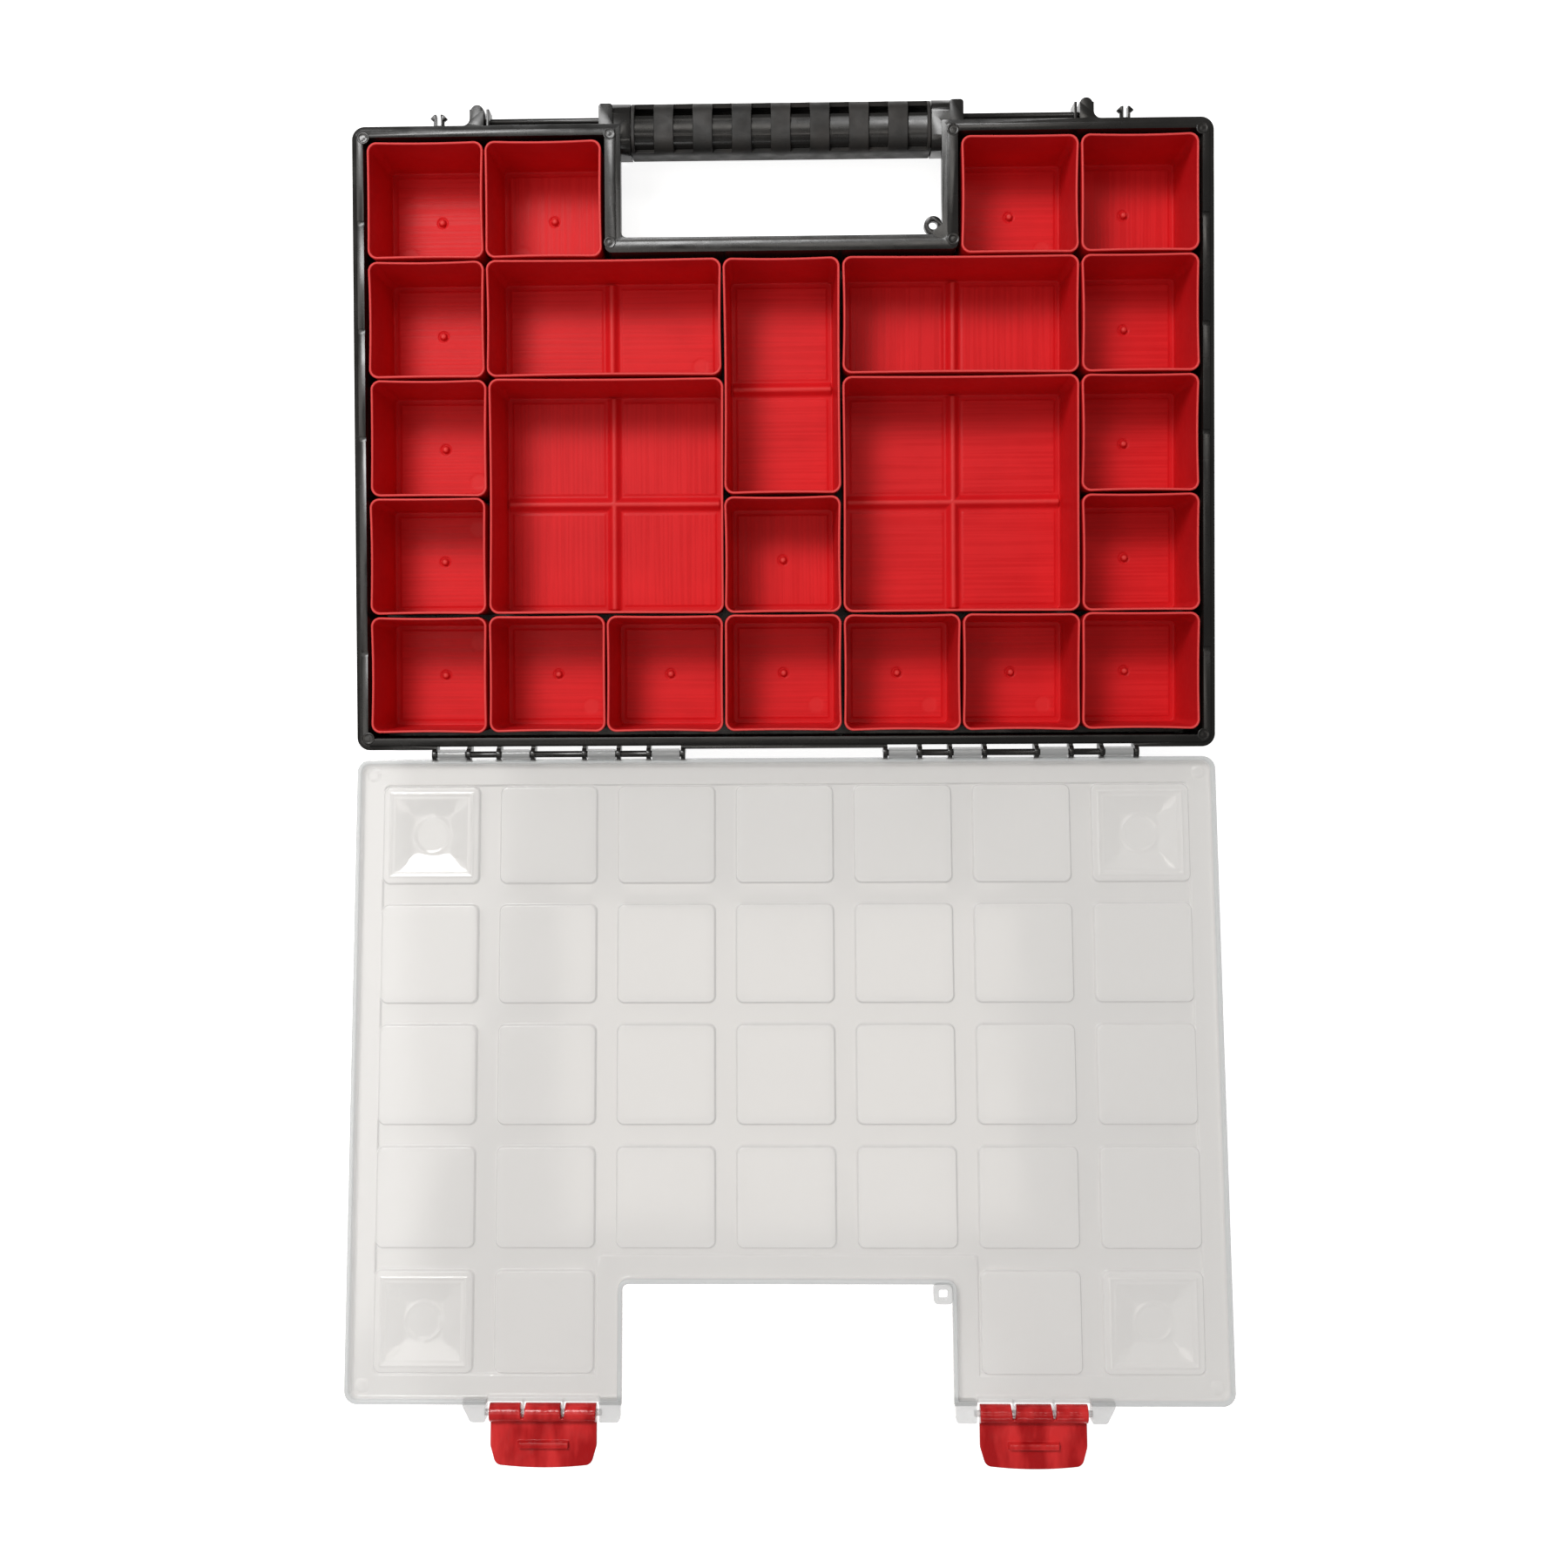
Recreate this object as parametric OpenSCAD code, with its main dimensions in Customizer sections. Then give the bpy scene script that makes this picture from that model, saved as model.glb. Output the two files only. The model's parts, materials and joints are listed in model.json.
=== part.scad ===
// Parts organizer: a tray of lift-out bins, a clear lid hinged at the back and two snap latches.
// Drawn with the lid lying open behind the tray. X runs along the hinge, +Y is the handle side and
// +Z is up. The origin is under the middle of the bin grid, on the plane the feet stand on.

/* [Bins] */
// Pitch of the bin grid, both ways
cell = 55; // [48:0.5:64]
// Gap between two neighbouring bins at their rims
bin_gap = 0.7; // [0.5:0.1:1.5]
// Height of a bin
bin_h = 42; // [30:0.5:60]
// Thickness of a bin's walls and floor
bin_wall = 1.4; // [1.2:0.1:2]
// Corner radius at a bin's rim
bin_corner_r = 5.5; // [4:0.5:8]
// How far each side of a bin leans in from rim to floor
bin_draft = 1.2; // [0.4:0.1:2]
// Width of the raised ridge where a large bin's floor crosses a grid line
ridge_w = 8; // [5:0.5:12]
// Height of that ridge
ridge_h = 1.5; // [0.8:0.1:2.5]
// Diameter of the gate nub in the middle of a small bin's floor
nub_d = 5; // [3:0.5:8]
// How far a bin lifts out
bin_lift = 60; // [45:1:80]

/* [Tray] */
// Wall of the tray
tray_wall = 2; // [1.5:0.1:3]
// Floor of the tray
tray_floor = 1.8; // [1.5:0.1:3]
// Clearance between the outer bins and the tray's side walls
bin_clear = 1.9; // [1:0.1:3]
// Clearance between the outer bins and the tray's front and rear walls
bin_clear_y = 2.5; // [1:0.1:4]
// Width of the rim flange outside the wall
flange_w = 3.5; // [2.5:0.5:6]
// Thickness of the rim flange
flange_t = 1.8; // [1.2:0.1:3]
// Depth of the lip that hangs from the flange's edge
lip_h = 6; // [4:0.5:10]
// Width of the ledge that the lid's skirt stands on
ledge_w = 2.4; // [2:0.1:3]
// Height of the upstand inside the ledge
upstand_h = 1.5; // [1:0.1:3]
// How far a bin's rim stands above the ledge
bin_proud = 3.3; // [2:0.1:4]
// Corner radius of the rim
rim_r = 6; // [5:0.5:10]
// Height of the feet
foot_h = 1.5; // [1:0.1:3]
// Diameter of the feet
foot_d = 16; // [10:1:24]

/* [Handle] */
// Number of bin columns that the hand hole takes the place of
hole_cols = 3; // [1:2:3]
// Clearance between the hand hole's wall and the bins beside it
hole_clear = 1.15; // [0.6:0.05:3]
// Clearance between the hand hole's wall and the bins behind it
hole_clear_y = 3.2; // [0.6:0.1:5]
// Width of the rim around the hand hole
band_w = 7.2; // [6:0.1:8]
// Distance from the hand hole's end to the handle's side wall
side_in = 3.5; // [2.5:0.1:4]
// How far the handle's side walls and the latch ears stand out in front of the rim
ear_out = 9.5; // [8:0.5:12]
// Depth of the handle bar, front to back
bar_d = 20.5; // [18:0.5:26]
// Height of the handle bar
bar_h = 18.5; // [14:0.5:24]
// Radius of the handle bar's corners
bar_r = 8; // [4:0.5:9]
// Depth of the groove along the handle bar's front edge
groove_d = 5; // [3:0.5:6]
// Distance that the handle bar stands out in front of the latch ears
bar_out = 0; // [0:0.1:4]
// Length of the collar at each end of the grip
collar_l = 8; // [4:0.5:12]
// Wall of the snap-on grip
grip_t = 1.5; // [1.2:0.1:2.5]
// Radius of the grip's outer corners
grip_r = 7; // [4:0.5:9]
// Number of windows along the grip
grip_windows = 8; // [4:1:9]
// Width of a window
window_w = 9; // [6:0.1:10]
// Height of the windows' front and rear edges above the middle of the grip
window_sill = 6.5; // [3:0.5:8]
// Inside radius of the lock eye beside the hole
eye_r = 2; // [1.5:0.1:2.5]

/* [Lid] */
// Height of the lid's skirt
lid_h = 7.5; // [7:0.1:10]
// Wall of the lid
lid_t = 1.8; // [1.5:0.1:2.2]
// Width of the lid's stepped border
border_w = 12; // [10:0.5:14]
// Height of the step between border and panel
border_step = 1; // [0.5:0.1:1.5]
// Distance between two neighbouring pads, one of which stands over each bin cell
pad_space = 10; // [5:0.5:17]
// Gap between the pads of a closed lid and the rims of the bins
pad_gap = 0.4; // [0.3:0.1:1]
// Angle that the lid opens to, from closed
lid_open = 173; // [160:1:178]

/* [Hinge] */
// Distance from the tray's side to the outermost hinge ear
hinge_in = 36.5; // [20:0.5:50]
// Distance of the hinge axis behind the tray's rim
axis_out = 2.2; // [2:0.1:5]
// Depth of the recess that the tray's rear flange has at the hinges
hinge_recess = 1.5; // [1.2:0.1:2]
// Radius of the hinge rods and the latch rods
rod_r = 1.5; // [1.2:0.1:1.8]
// Radial clearance of a clip on its rod
rod_clear = 0.06; // [0.03:0.01:0.1]
// Outside radius of the lid's hinge clips
clip_r = 2.7; // [2.5:0.1:3]
// Outside radius of the hinge ears' ends
hinge_ear_r = 3; // [2.8:0.1:3.2]
// Thickness of a hinge ear
hinge_ear_t = 2; // [1.5:0.1:3]

/* [Latches] */
// Distance of the latch axis in front of the rim
latch_out = 4; // [4:0.1:6]
// How far the lid's latch ears stand out in front of the rim
lid_ear_out = 7.5; // [6.5:0.5:9]
// Depth of the recess that the lid's front edge has behind each latch
bay_recess = 1; // [0.8:0.1:1.2]
// Width of a latch
latch_w = 48; // [40:0.5:50]
// Clearance on each side of a latch
latch_clear = 1.5; // [0.5:0.1:3]
// Outside radius of a latch's knuckles
knuckle_r = 4.1; // [3.5:0.1:4.3]
// Length of a latch from its axis to its end
latch_l = 24.5; // [23:0.5:29]
// Thickness of a latch's plate
latch_t = 2.6; // [2:0.1:3]
// Distance from the latch's axis to the middle of its catch ridge
ridge_at = 14.3; // [12:0.1:15]
// Length of the catch ridge
catch_l = 24; // [16:1:32]
// Clearance between the catch ridge and the catch bar
catch_clear = 0.3; // [0.2:0.1:0.6]

/* [Hidden] */
$fn = 48;
eps = 0.01;
cols = 7;
rows = 5;

// Tray sizes that follow from the bin grid
wall_x = cols * cell / 2 + bin_clear - bin_gap / 2;
wall_y = rows * cell / 2 + bin_clear_y - bin_gap / 2;
rim_in = tray_wall + flange_w;
rim_x = wall_x + rim_in;
rim_y = wall_y + rim_in;
floor_z = foot_h + tray_floor;
bin_top = floor_z + bin_h;
rim_z = bin_top - bin_proud;
upstand_z = rim_z + upstand_h;
hole_x = hole_cols * cell / 2 + bin_gap / 2 - hole_clear - band_w;
hole_y = (rows / 2 - 1) * cell - bin_gap / 2 + hole_clear_y + band_w;
foot_x = cell_x(cols);
foot_y = cell_y(rows);
ear_y = rim_y + ear_out;

// Handle
grip_fit = 0.1;
grip_half = bar_d / 2 + grip_fit + grip_t;
bar_y = ear_y + bar_out - bar_d / 2;
bar_z = rim_z - 2.5 - bar_h / 2;
collar = grip_t + 0.5;
collar_gap = 0.4;
side_w = 6.5;
side_x = hole_x + side_in;
grip_l = 2 * (side_x - collar_l - collar_gap);
grip_slot = 9;
window_end = 1.6;
window_pitch = (grip_l - 2 * window_end - window_w) / (grip_windows - 1);

// Lid, in its closed place
skirt_t = ledge_w - 0.4;
lid_top = rim_z + lid_h;
plate_z = lid_top - lid_t;
pad_z = bin_top + pad_gap;
pad_w = cell - pad_space;
pad_r = 3;
stack_w = pad_w - 11;
stack_disc = foot_d + 1;
stack_depth = 0.6;
clip_l = 13;
snap_gap = 2.2;

// Hinge
hinge_y = -rim_y - axis_out;
hinge_z = rim_z;
hinge_bay = 16;
ear_gap = 0.4;
hinge_bays = [for (from = [100, 70, 30, 0])
    [rim_x - hinge_in - from - hinge_bay, rim_x - hinge_in - from]];

// Latch
latch_bay = latch_w / 2 + latch_clear;
latch_x = side_x + side_w + latch_bay;
latch_ear_w = 9.5;
latch_y = rim_y + latch_out;
lid_ear_y = rim_y + lid_ear_out;
latch_z = lid_top - knuckle_r + 0.2;
slot_x = 9;
slot_mouth = 2.4;
slot_end_r = 0.7;
slot_end_y = 1.2;
rib_t = 0.8;
web_t = 1.2;
ear_flare = 3.5;
catch_h = 3.4;
catch_out = 2.4;
catch_y = latch_y + knuckle_r - latch_t - catch_clear - rod_r;
catch_z = latch_z - ridge_at + catch_h / 2 + catch_clear + rod_r;

// Row and column of each small bin, from the hinge side and the left
SMALL = [
    [1, 1], [1, 2], [1, 3], [1, 4], [1, 5], [1, 6], [1, 7],
    [2, 1], [2, 4], [2, 7], [3, 1], [3, 7], [4, 1], [4, 7],
    [5, 1], [5, 2], [5, 6], [5, 7]
];

function cell_x(c) = (c - (cols + 1) / 2) * cell;
function cell_y(r) = (r - (rows + 1) / 2) * cell;

// A rectangle with round corners, centred
module round_rect(w, d, r) {
    square([w - 2 * r, d], center = true);
    square([w, d - 2 * r], center = true);
    for (x = [-1, 1], y = [-1, 1]) translate([x * (w / 2 - r), y * (d / 2 - r)]) circle(r);
}

// The rim's outline with the hand hole's notch, set in by side from the edge and by band from the notch
module outline(side, band) {
    difference() {
        round_rect(2 * (rim_x - side), 2 * (rim_y - side), rim_r - min(side, rim_r - 1));
        translate([0, hole_y - band + rim_y])
            round_rect(2 * (hole_x + band), 2 * rim_y, 3);
    }
}

// A wall that follows the outline between two insets
module ring(z, h, out_side, out_band, in_side, in_band) {
    translate([0, 0, z]) linear_extrude(h) difference() {
        outline(out_side, out_band);
        outline(in_side, in_band);
    }
}

// A rounded box that narrows towards its floor, with true cones at its corners
module drafted_box(w, d, h, r, draft) {
    for (turn = [0, 1]) {
        across = turn ? d : w;
        along = turn ? w : d;
        rotate([0, 0, 90 * turn]) rotate([90, 0, 0])
            linear_extrude(along - 2 * r, center = true)
                polygon([[-across / 2 + draft, 0], [across / 2 - draft, 0], [across / 2, h], [-across / 2, h]]);
    }
    for (x = [-1, 1], y = [-1, 1]) translate([x * (w / 2 - r), y * (d / 2 - r), 0])
        cylinder(h = h, r1 = r - draft, r2 = r);
}

// The round-topped ridge on a floor, lying along X
module floor_ridge(l) {
    r = (ridge_h * ridge_h + ridge_w * ridge_w / 4) / (2 * ridge_h);
    rotate([90, 0, 90]) linear_extrude(l, center = true) intersection() {
        translate([0, ridge_h - r]) circle(r, $fn = 96);
        translate([-ridge_w / 2, -0.2]) square([ridge_w, ridge_h + 0.2]);
    }
}

// One bin that covers nc by nr cells
module bin(nc, nr) {
    w = nc * cell - bin_gap;
    d = nr * cell - bin_gap;
    lean = bin_draft * (1 - bin_wall / bin_h);
    floor_w = w - 2 * bin_wall - 2 * lean;
    floor_d = d - 2 * bin_wall - 2 * lean;
    difference() {
        drafted_box(w, d, bin_h, bin_corner_r, bin_draft);
        translate([0, 0, bin_wall]) drafted_box(
            w - 2 * bin_wall, d - 2 * bin_wall, bin_h - bin_wall + eps, bin_corner_r - bin_wall, lean);
    }
    translate([0, 0, bin_wall]) {
        if (nr > 1) floor_ridge(floor_w + 0.4);
        if (nc > 1) rotate([0, 0, 90]) floor_ridge(floor_d + 0.4);
        if (nc * nr == 1) translate([0, 0, -eps]) {
            cylinder(h = 0.5, d = nub_d);
            cylinder(h = 1.1, d = nub_d * 0.56);
        }
    }
}

// A bin in its place; r and c name its first row from the hinge and first column from the left
module place_bin(r, c, nr = 1, nc = 1) {
    translate([cell_x(c + (nc - 1) / 2), cell_y(r + (nr - 1) / 2), floor_z])
        color([0.78, 0.12, 0.13]) bin(nc, nr);
}

// One hinge ear, flat side along X, its end round the axis
// A strip along the rear rim, from the outermost hinge ear to the innermost
module hinge_strip(y, d, h) {
    x = hinge_bays[0][0] - hinge_ear_t / 2;
    translate([x, y - rim_y, rim_z - lip_h]) cube([hinge_bays[3][1] + hinge_ear_t / 2 - x, d, h]);
}

module hinge_ear() {
    rotate([90, 0, 90]) linear_extrude(hinge_ear_t, center = true) {
        translate([hinge_y, hinge_z]) circle(hinge_ear_r);
        translate([hinge_y, hinge_z - lip_h]) square([axis_out + hinge_recess + 1, lip_h]);
    }
}

// The split stud that clips a neighbouring case to the front wall, pointing along +Y
module snap_stud() {
    shank = 2.6;
    head = 4;
    intersection() {
        difference() {
            rotate([-90, 0, 0]) {
                cylinder(h = 5, r = shank);
                translate([0, 0, 3.4]) cylinder(h = 1.2, r1 = shank, r2 = head);
                translate([0, 0, 4.6]) cylinder(h = 1.6, r1 = head, r2 = shank);
            }
            translate([0, 4.5, 0]) cube([2, 7, 10], center = true);
        }
        translate([0, 4, 0]) cube([12, 12, 4], center = true);
    }
}

// The ring that a padlock passes, at the rear right corner of the hand hole
module lock_eye(z, h) {
    r = eye_r + 2.2;
    translate([hole_x - r, hole_y + r, z]) linear_extrude(h) difference() {
        union() {
            circle(r);
            translate([0, -r - 1]) square([r + 1, r + 1]);
        }
        circle(eye_r);
    }
}

module hand_bar() {
    translate([0, bar_y, bar_z]) rotate([90, 0, 90])
        linear_extrude(2 * side_x + 2, center = true) difference() {
            round_rect(bar_d, bar_h, bar_r);
            translate([bar_d / 2 - groove_d, -2]) square([groove_d + 1, bar_h]);
        }
}

module tray_front() {
    bay_edge = latch_x + latch_bay;
    for (s = [-1, 1]) scale([s, 1, 1]) {
        // side wall of the handle, which ends in the inner latch ear
        translate([side_x, hole_y, rim_z - 24])
            cube([hole_x + band_w - side_x, ear_y - hole_y - 2, 24]);
        translate([side_x, wall_y + 0.5, rim_z - 22]) linear_extrude(22) {
            square([side_w, ear_y - wall_y - 2]);
            translate([1.5, 0]) square([side_w - 3, ear_y - wall_y - 0.5]);
            for (x = [1.5, side_w - 1.5]) translate([x, ear_y - wall_y - 2]) circle(1.5);
        }
        // collar between the side wall and the grip
        translate([grip_l / 2 + collar_gap, bar_y, bar_z]) rotate([90, 0, 90])
            linear_extrude(collar_l + 1) round_rect(bar_d + 2 * collar, bar_h + 2 * collar - 2, grip_r);
        // outer latch ear, with the thin ear beside it
        translate([bay_edge, rim_y - 3, rim_z - 10]) linear_extrude(10) {
            translate([2.5, 0]) square([6.5, ear_out + 1]);
            translate([5.5, ear_out]) circle(3);
            square([1.2, ear_out + 1]);
            translate([9 - eps, 3 - eps]) difference() {
                square(ear_flare);
                translate([ear_flare, ear_flare]) circle(ear_flare);
            }
        }
        // catch bar, with the web that joins it to the lip
        translate([latch_x - latch_bay - eps, catch_y, catch_z]) rotate([0, 90, 0])
            cylinder(h = 2 * latch_bay + 3, r = rod_r);
        translate([latch_x - latch_bay - eps, rim_y - 1, catch_z - web_t / 2])
            cube([2 * latch_bay + 3, catch_y - rim_y + 1, web_t]);
        translate([bay_edge + 24, rim_y - 0.2, rim_z - 4]) snap_stud();
    }
}

module tray() {
    color([0.07, 0.07, 0.08]) {
        difference() {
            union() {
                translate([0, 0, foot_h]) linear_extrude(tray_floor) outline(flange_w, band_w - tray_wall);
                ring(floor_z - eps, rim_z - floor_z + eps, flange_w, band_w - tray_wall, rim_in, band_w);
                ring(rim_z - flange_t, flange_t, 0, 0, rim_in, band_w);
                ring(rim_z - lip_h, lip_h, 0, 0, 1.5, 1.5);
                ring(rim_z - eps, upstand_h + eps, ledge_w, ledge_w, rim_in, band_w);
            }
            // small witness notches across the side rims
            for (s = [-1, 1], y = [-100, 0, 50, 100])
                translate([s * rim_x, y, upstand_z]) cube([2 * rim_in, 2.4, 1.6], center = true);
            for (s = [-1, 1]) scale([s, 1, 1]) hinge_strip(-1, 1 + hinge_recess, lip_h + 1);
        }
        for (s = [-1, 1]) scale([s, 1, 1]) hinge_strip(hinge_recess, 1.5, lip_h);
        for (x = [-1, 1], y = [-1, 1]) translate([x * foot_x, y * foot_y, 0])
            cylinder(h = foot_h + eps, d = foot_d);
        // hinge ears and rods
        for (s = [-1, 1]) {
            for (bay = hinge_bays, x = bay) translate([s * x, 0, 0]) hinge_ear();
            translate([s * (hinge_bays[0][0] + hinge_bays[3][1]) / 2, hinge_y, hinge_z])
                rotate([0, 90, 0])
                    cylinder(h = hinge_bays[3][1] - hinge_bays[0][0], r = rod_r, center = true);
        }
        tray_front();
        hand_bar();
        lock_eye(rim_z - 4, 4);
    }
}

// The ribbed cover that snaps over the handle bar
module handle_grip() {
    color([0.13, 0.12, 0.12]) translate([0, bar_y, bar_z]) difference() {
        rotate([90, 0, 90]) linear_extrude(grip_l, center = true) difference() {
            round_rect(2 * grip_half, bar_h + 2 * grip_t + 2 * grip_fit, grip_r);
            round_rect(bar_d + 2 * grip_fit, bar_h + 2 * grip_fit, bar_r);
            translate([-grip_slot / 2, -bar_h]) square([grip_slot, bar_h]);
        }
        for (i = [0 : grip_windows - 1])
            translate([(i - (grip_windows - 1) / 2) * window_pitch - window_w / 2, -grip_half - 1, window_sill])
                cube([window_w, 2 * grip_half + 2, bar_h]);
    }
}

module at_rest(y, z, angle) {
    translate([0, y, z]) rotate([angle, 0, 0]) translate([0, -y, -z]) children();
}

// A pad over the cell at row r and column c, from its face up to the panel's top
module pad_at(r, c, inset, z, h) {
    translate([cell_x(c), cell_y(r), z]) linear_extrude(h)
        round_rect(pad_w - 2 * inset, pad_w - 2 * inset, pad_r);
}

function over_hole(r, c) = r == rows && c > 2 && c < 6;

module pads(inset, z, h) {
    for (r = [1 : rows], c = [1 : cols]) if (!over_hole(r, c)) pad_at(r, c, inset, z, h);
}

// The square seat in each corner pad that locates the foot of a case stacked on the lid
module stack_seats(grow, z, h) {
    for (r = [1, rows], c = [1, cols]) translate([cell_x(c), cell_y(r), z]) rotate([0, 0, 45])
        cylinder(h = h, r1 = (stack_w / 2 + grow) * sqrt(2), r2 = (stack_disc / 2 + grow) * sqrt(2), $fn = 4);
}

// Lid ears that hold the latch rod, one pair for each latch
module lid_ears() {
    ear_h = lid_h - 1;
    for (s = [-1, 1]) scale([s, 1, 1]) {
        translate([latch_x - latch_bay, 0, rim_z]) linear_extrude(ear_h) {
            translate([-latch_ear_w, rim_y - skirt_t]) square([latch_ear_w, skirt_t + lid_ear_out - 1.5]);
            translate([-latch_ear_w + 1.5, rim_y]) square([latch_ear_w - 3, lid_ear_out]);
            for (x = [1.5, latch_ear_w - 1.5]) translate([-x, lid_ear_y - 1.5]) circle(1.5);
        }
        translate([latch_x + latch_bay, 0, rim_z]) linear_extrude(ear_h)
            polygon([[0, rim_y - skirt_t], [0, lid_ear_y], [7.5, lid_ear_y],
                [10.5, rim_y], [10.5, rim_y - skirt_t]]);
        translate([latch_x, latch_y, latch_z]) rotate([0, 90, 0])
            cylinder(h = 2 * latch_bay + 2, r = rod_r, center = true);
        for (x = [-slot_x, slot_x])
            translate([latch_x + x - rib_t / 2, rim_y - 1, latch_z - rod_r])
                cube([rib_t, latch_y - rim_y + 1, 2 * rod_r]);
    }
}

// C-shaped clips that snap over the tray's hinge rods; their mouths face away from the lid
module lid_clips() {
    for (s = [-1, 1], bay = hinge_bays) translate([s * (bay[0] + bay[1]) / 2, hinge_y, hinge_z])
        difference() {
            union() {
                rotate([0, 90, 0]) cylinder(h = clip_l, r = clip_r, center = true);
                translate([-clip_l / 2, 0, 0.9]) cube([clip_l, axis_out + skirt_t / 2, 1.8]);
            }
            rotate([0, 90, 0]) cylinder(h = clip_l + 2, r = rod_r + rod_clear, center = true);
            translate([-clip_l, -clip_r - 1, -snap_gap / 2]) cube([2 * clip_l, clip_r + 1, snap_gap]);
        }
}

module lid_closed() {
    difference() {
        union() {
            ring(rim_z, lid_h - border_step, 0, 0, skirt_t, skirt_t);
            translate([0, 0, plate_z - border_step]) linear_extrude(lid_t) outline(0, 0);
            translate([0, 0, plate_z - border_step]) linear_extrude(lid_t + border_step)
                outline(border_w, border_w);
            pads(0, pad_z, plate_z - pad_z + 0.5);
        }
        // the panel is as thin as the rest, and each pad is hollow from outside
        translate([0, 0, plate_z - border_step - eps]) linear_extrude(border_step + eps) difference() {
            outline(border_w + lid_t, border_w + lid_t);
            for (r = [1 : rows], c = [1 : cols]) if (!over_hole(r, c))
                translate([cell_x(c), cell_y(r)]) round_rect(pad_w, pad_w, pad_r);
        }
        pads(lid_t, pad_z + lid_t, lid_h);
        // room for the hinge ears and for the latches' knuckles
        for (s = [-1, 1], bay = hinge_bays, x = bay) translate([s * x, hinge_y, hinge_z])
            rotate([0, 90, 0]) cylinder(h = hinge_ear_t + 2 * ear_gap, r = hinge_ear_r + ear_gap, center = true);
        for (s = [-1, 1]) translate([s * latch_x - latch_bay, rim_y - bay_recess, rim_z - 1])
            cube([2 * latch_bay, bay_recess + 1, lid_h + 2]);
    }
    for (s = [-1, 1]) translate([s * latch_x - latch_bay, rim_y - bay_recess - 2, upstand_z + 0.4])
        cube([2 * latch_bay, 2, plate_z - border_step - upstand_z]);
    lid_ears();
    lid_clips();
    lock_eye(rim_z, 4);
}

module lid_shape() {
    difference() {
        union() {
            lid_closed();
            stack_seats(lid_t, pad_z + lid_t - eps, lid_top - pad_z - lid_t);
        }
        stack_seats(0, pad_z - eps, lid_top - pad_z - lid_t);
        for (r = [1, rows], c = [1, cols]) translate([cell_x(c), cell_y(r), lid_top - stack_depth])
            cylinder(h = 1, d = stack_disc);
    }
}

module lid() {
    color([0.87, 0.86, 0.84, 0.5]) at_rest(hinge_y, hinge_z, lid_open) lid_shape();
}

// A latch lying level with the closed lid, its axis along X through the origin
module latch_shape() {
    plate_low = knuckle_r - latch_t;
    end_w = latch_w - 5;
    taper = 9.5;
    sag = 1.5;
    end_r = (sag * sag + end_w * end_w / 4) / (2 * sag);
    difference() {
        union() {
            rotate([0, 90, 0]) cylinder(h = latch_w, r = knuckle_r, center = true);
            translate([-latch_w / 2, 0, plate_low]) cube([latch_w, latch_l - taper, latch_t]);
            translate([0, 0, plate_low]) linear_extrude(latch_t) {
                polygon([[-latch_w / 2, latch_l - taper - 1], [latch_w / 2, latch_l - taper - 1],
                    [latch_w / 2, latch_l - taper], [end_w / 2, latch_l - sag],
                    [-end_w / 2, latch_l - sag], [-latch_w / 2, latch_l - taper]]);
                intersection() {
                    translate([0, latch_l - end_r]) circle(end_r, $fn = 192);
                    translate([-end_w / 2, latch_l - sag - 1]) square([end_w, sag + 1]);
                }
            }
            translate([-catch_l / 2, ridge_at - catch_h / 2, plate_low - catch_out])
                cube([catch_l, catch_h, catch_out + 0.5]);
        }
        rotate([0, 90, 0]) cylinder(h = latch_w + 2, r = rod_r + rod_clear, center = true);
        translate([-latch_w, -knuckle_r - 1, -snap_gap / 2]) cube([2 * latch_w, knuckle_r + 1, snap_gap]);
        for (x = [-slot_x, slot_x]) translate([x, 0, -knuckle_r - 1]) linear_extrude(2 * knuckle_r + 2) {
            polygon([[-slot_mouth / 2, -knuckle_r - eps], [slot_mouth / 2, -knuckle_r - eps],
                [slot_end_r, slot_end_y], [-slot_end_r, slot_end_y]]);
            translate([0, slot_end_y]) circle(slot_end_r);
        }
    }
}

module latch(side) {
    color([0.85, 0.13, 0.13]) at_rest(hinge_y, hinge_z, lid_open)
        translate([side * latch_x, latch_y, latch_z]) latch_shape();
}

tray();
handle_grip();
lid();
latch(-1);  // latch_left
latch(1);  // latch_right
for (p = SMALL) place_bin(p[0], p[1]);
place_bin(4, 2, nc = 2);  // wide_bin_left
place_bin(4, 5, nc = 2);  // wide_bin_right
place_bin(3, 4, nr = 2);  // long_bin
place_bin(2, 2, nr = 2, nc = 2);  // square_bin_left
place_bin(2, 5, nr = 2, nc = 2);  // square_bin_right
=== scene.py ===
"""The looks of the parts organizer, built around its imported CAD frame: lengths in metres, Z up."""

import json
import math
import random

import bmesh
import bpy
from mathutils import Matrix, Vector


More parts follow.
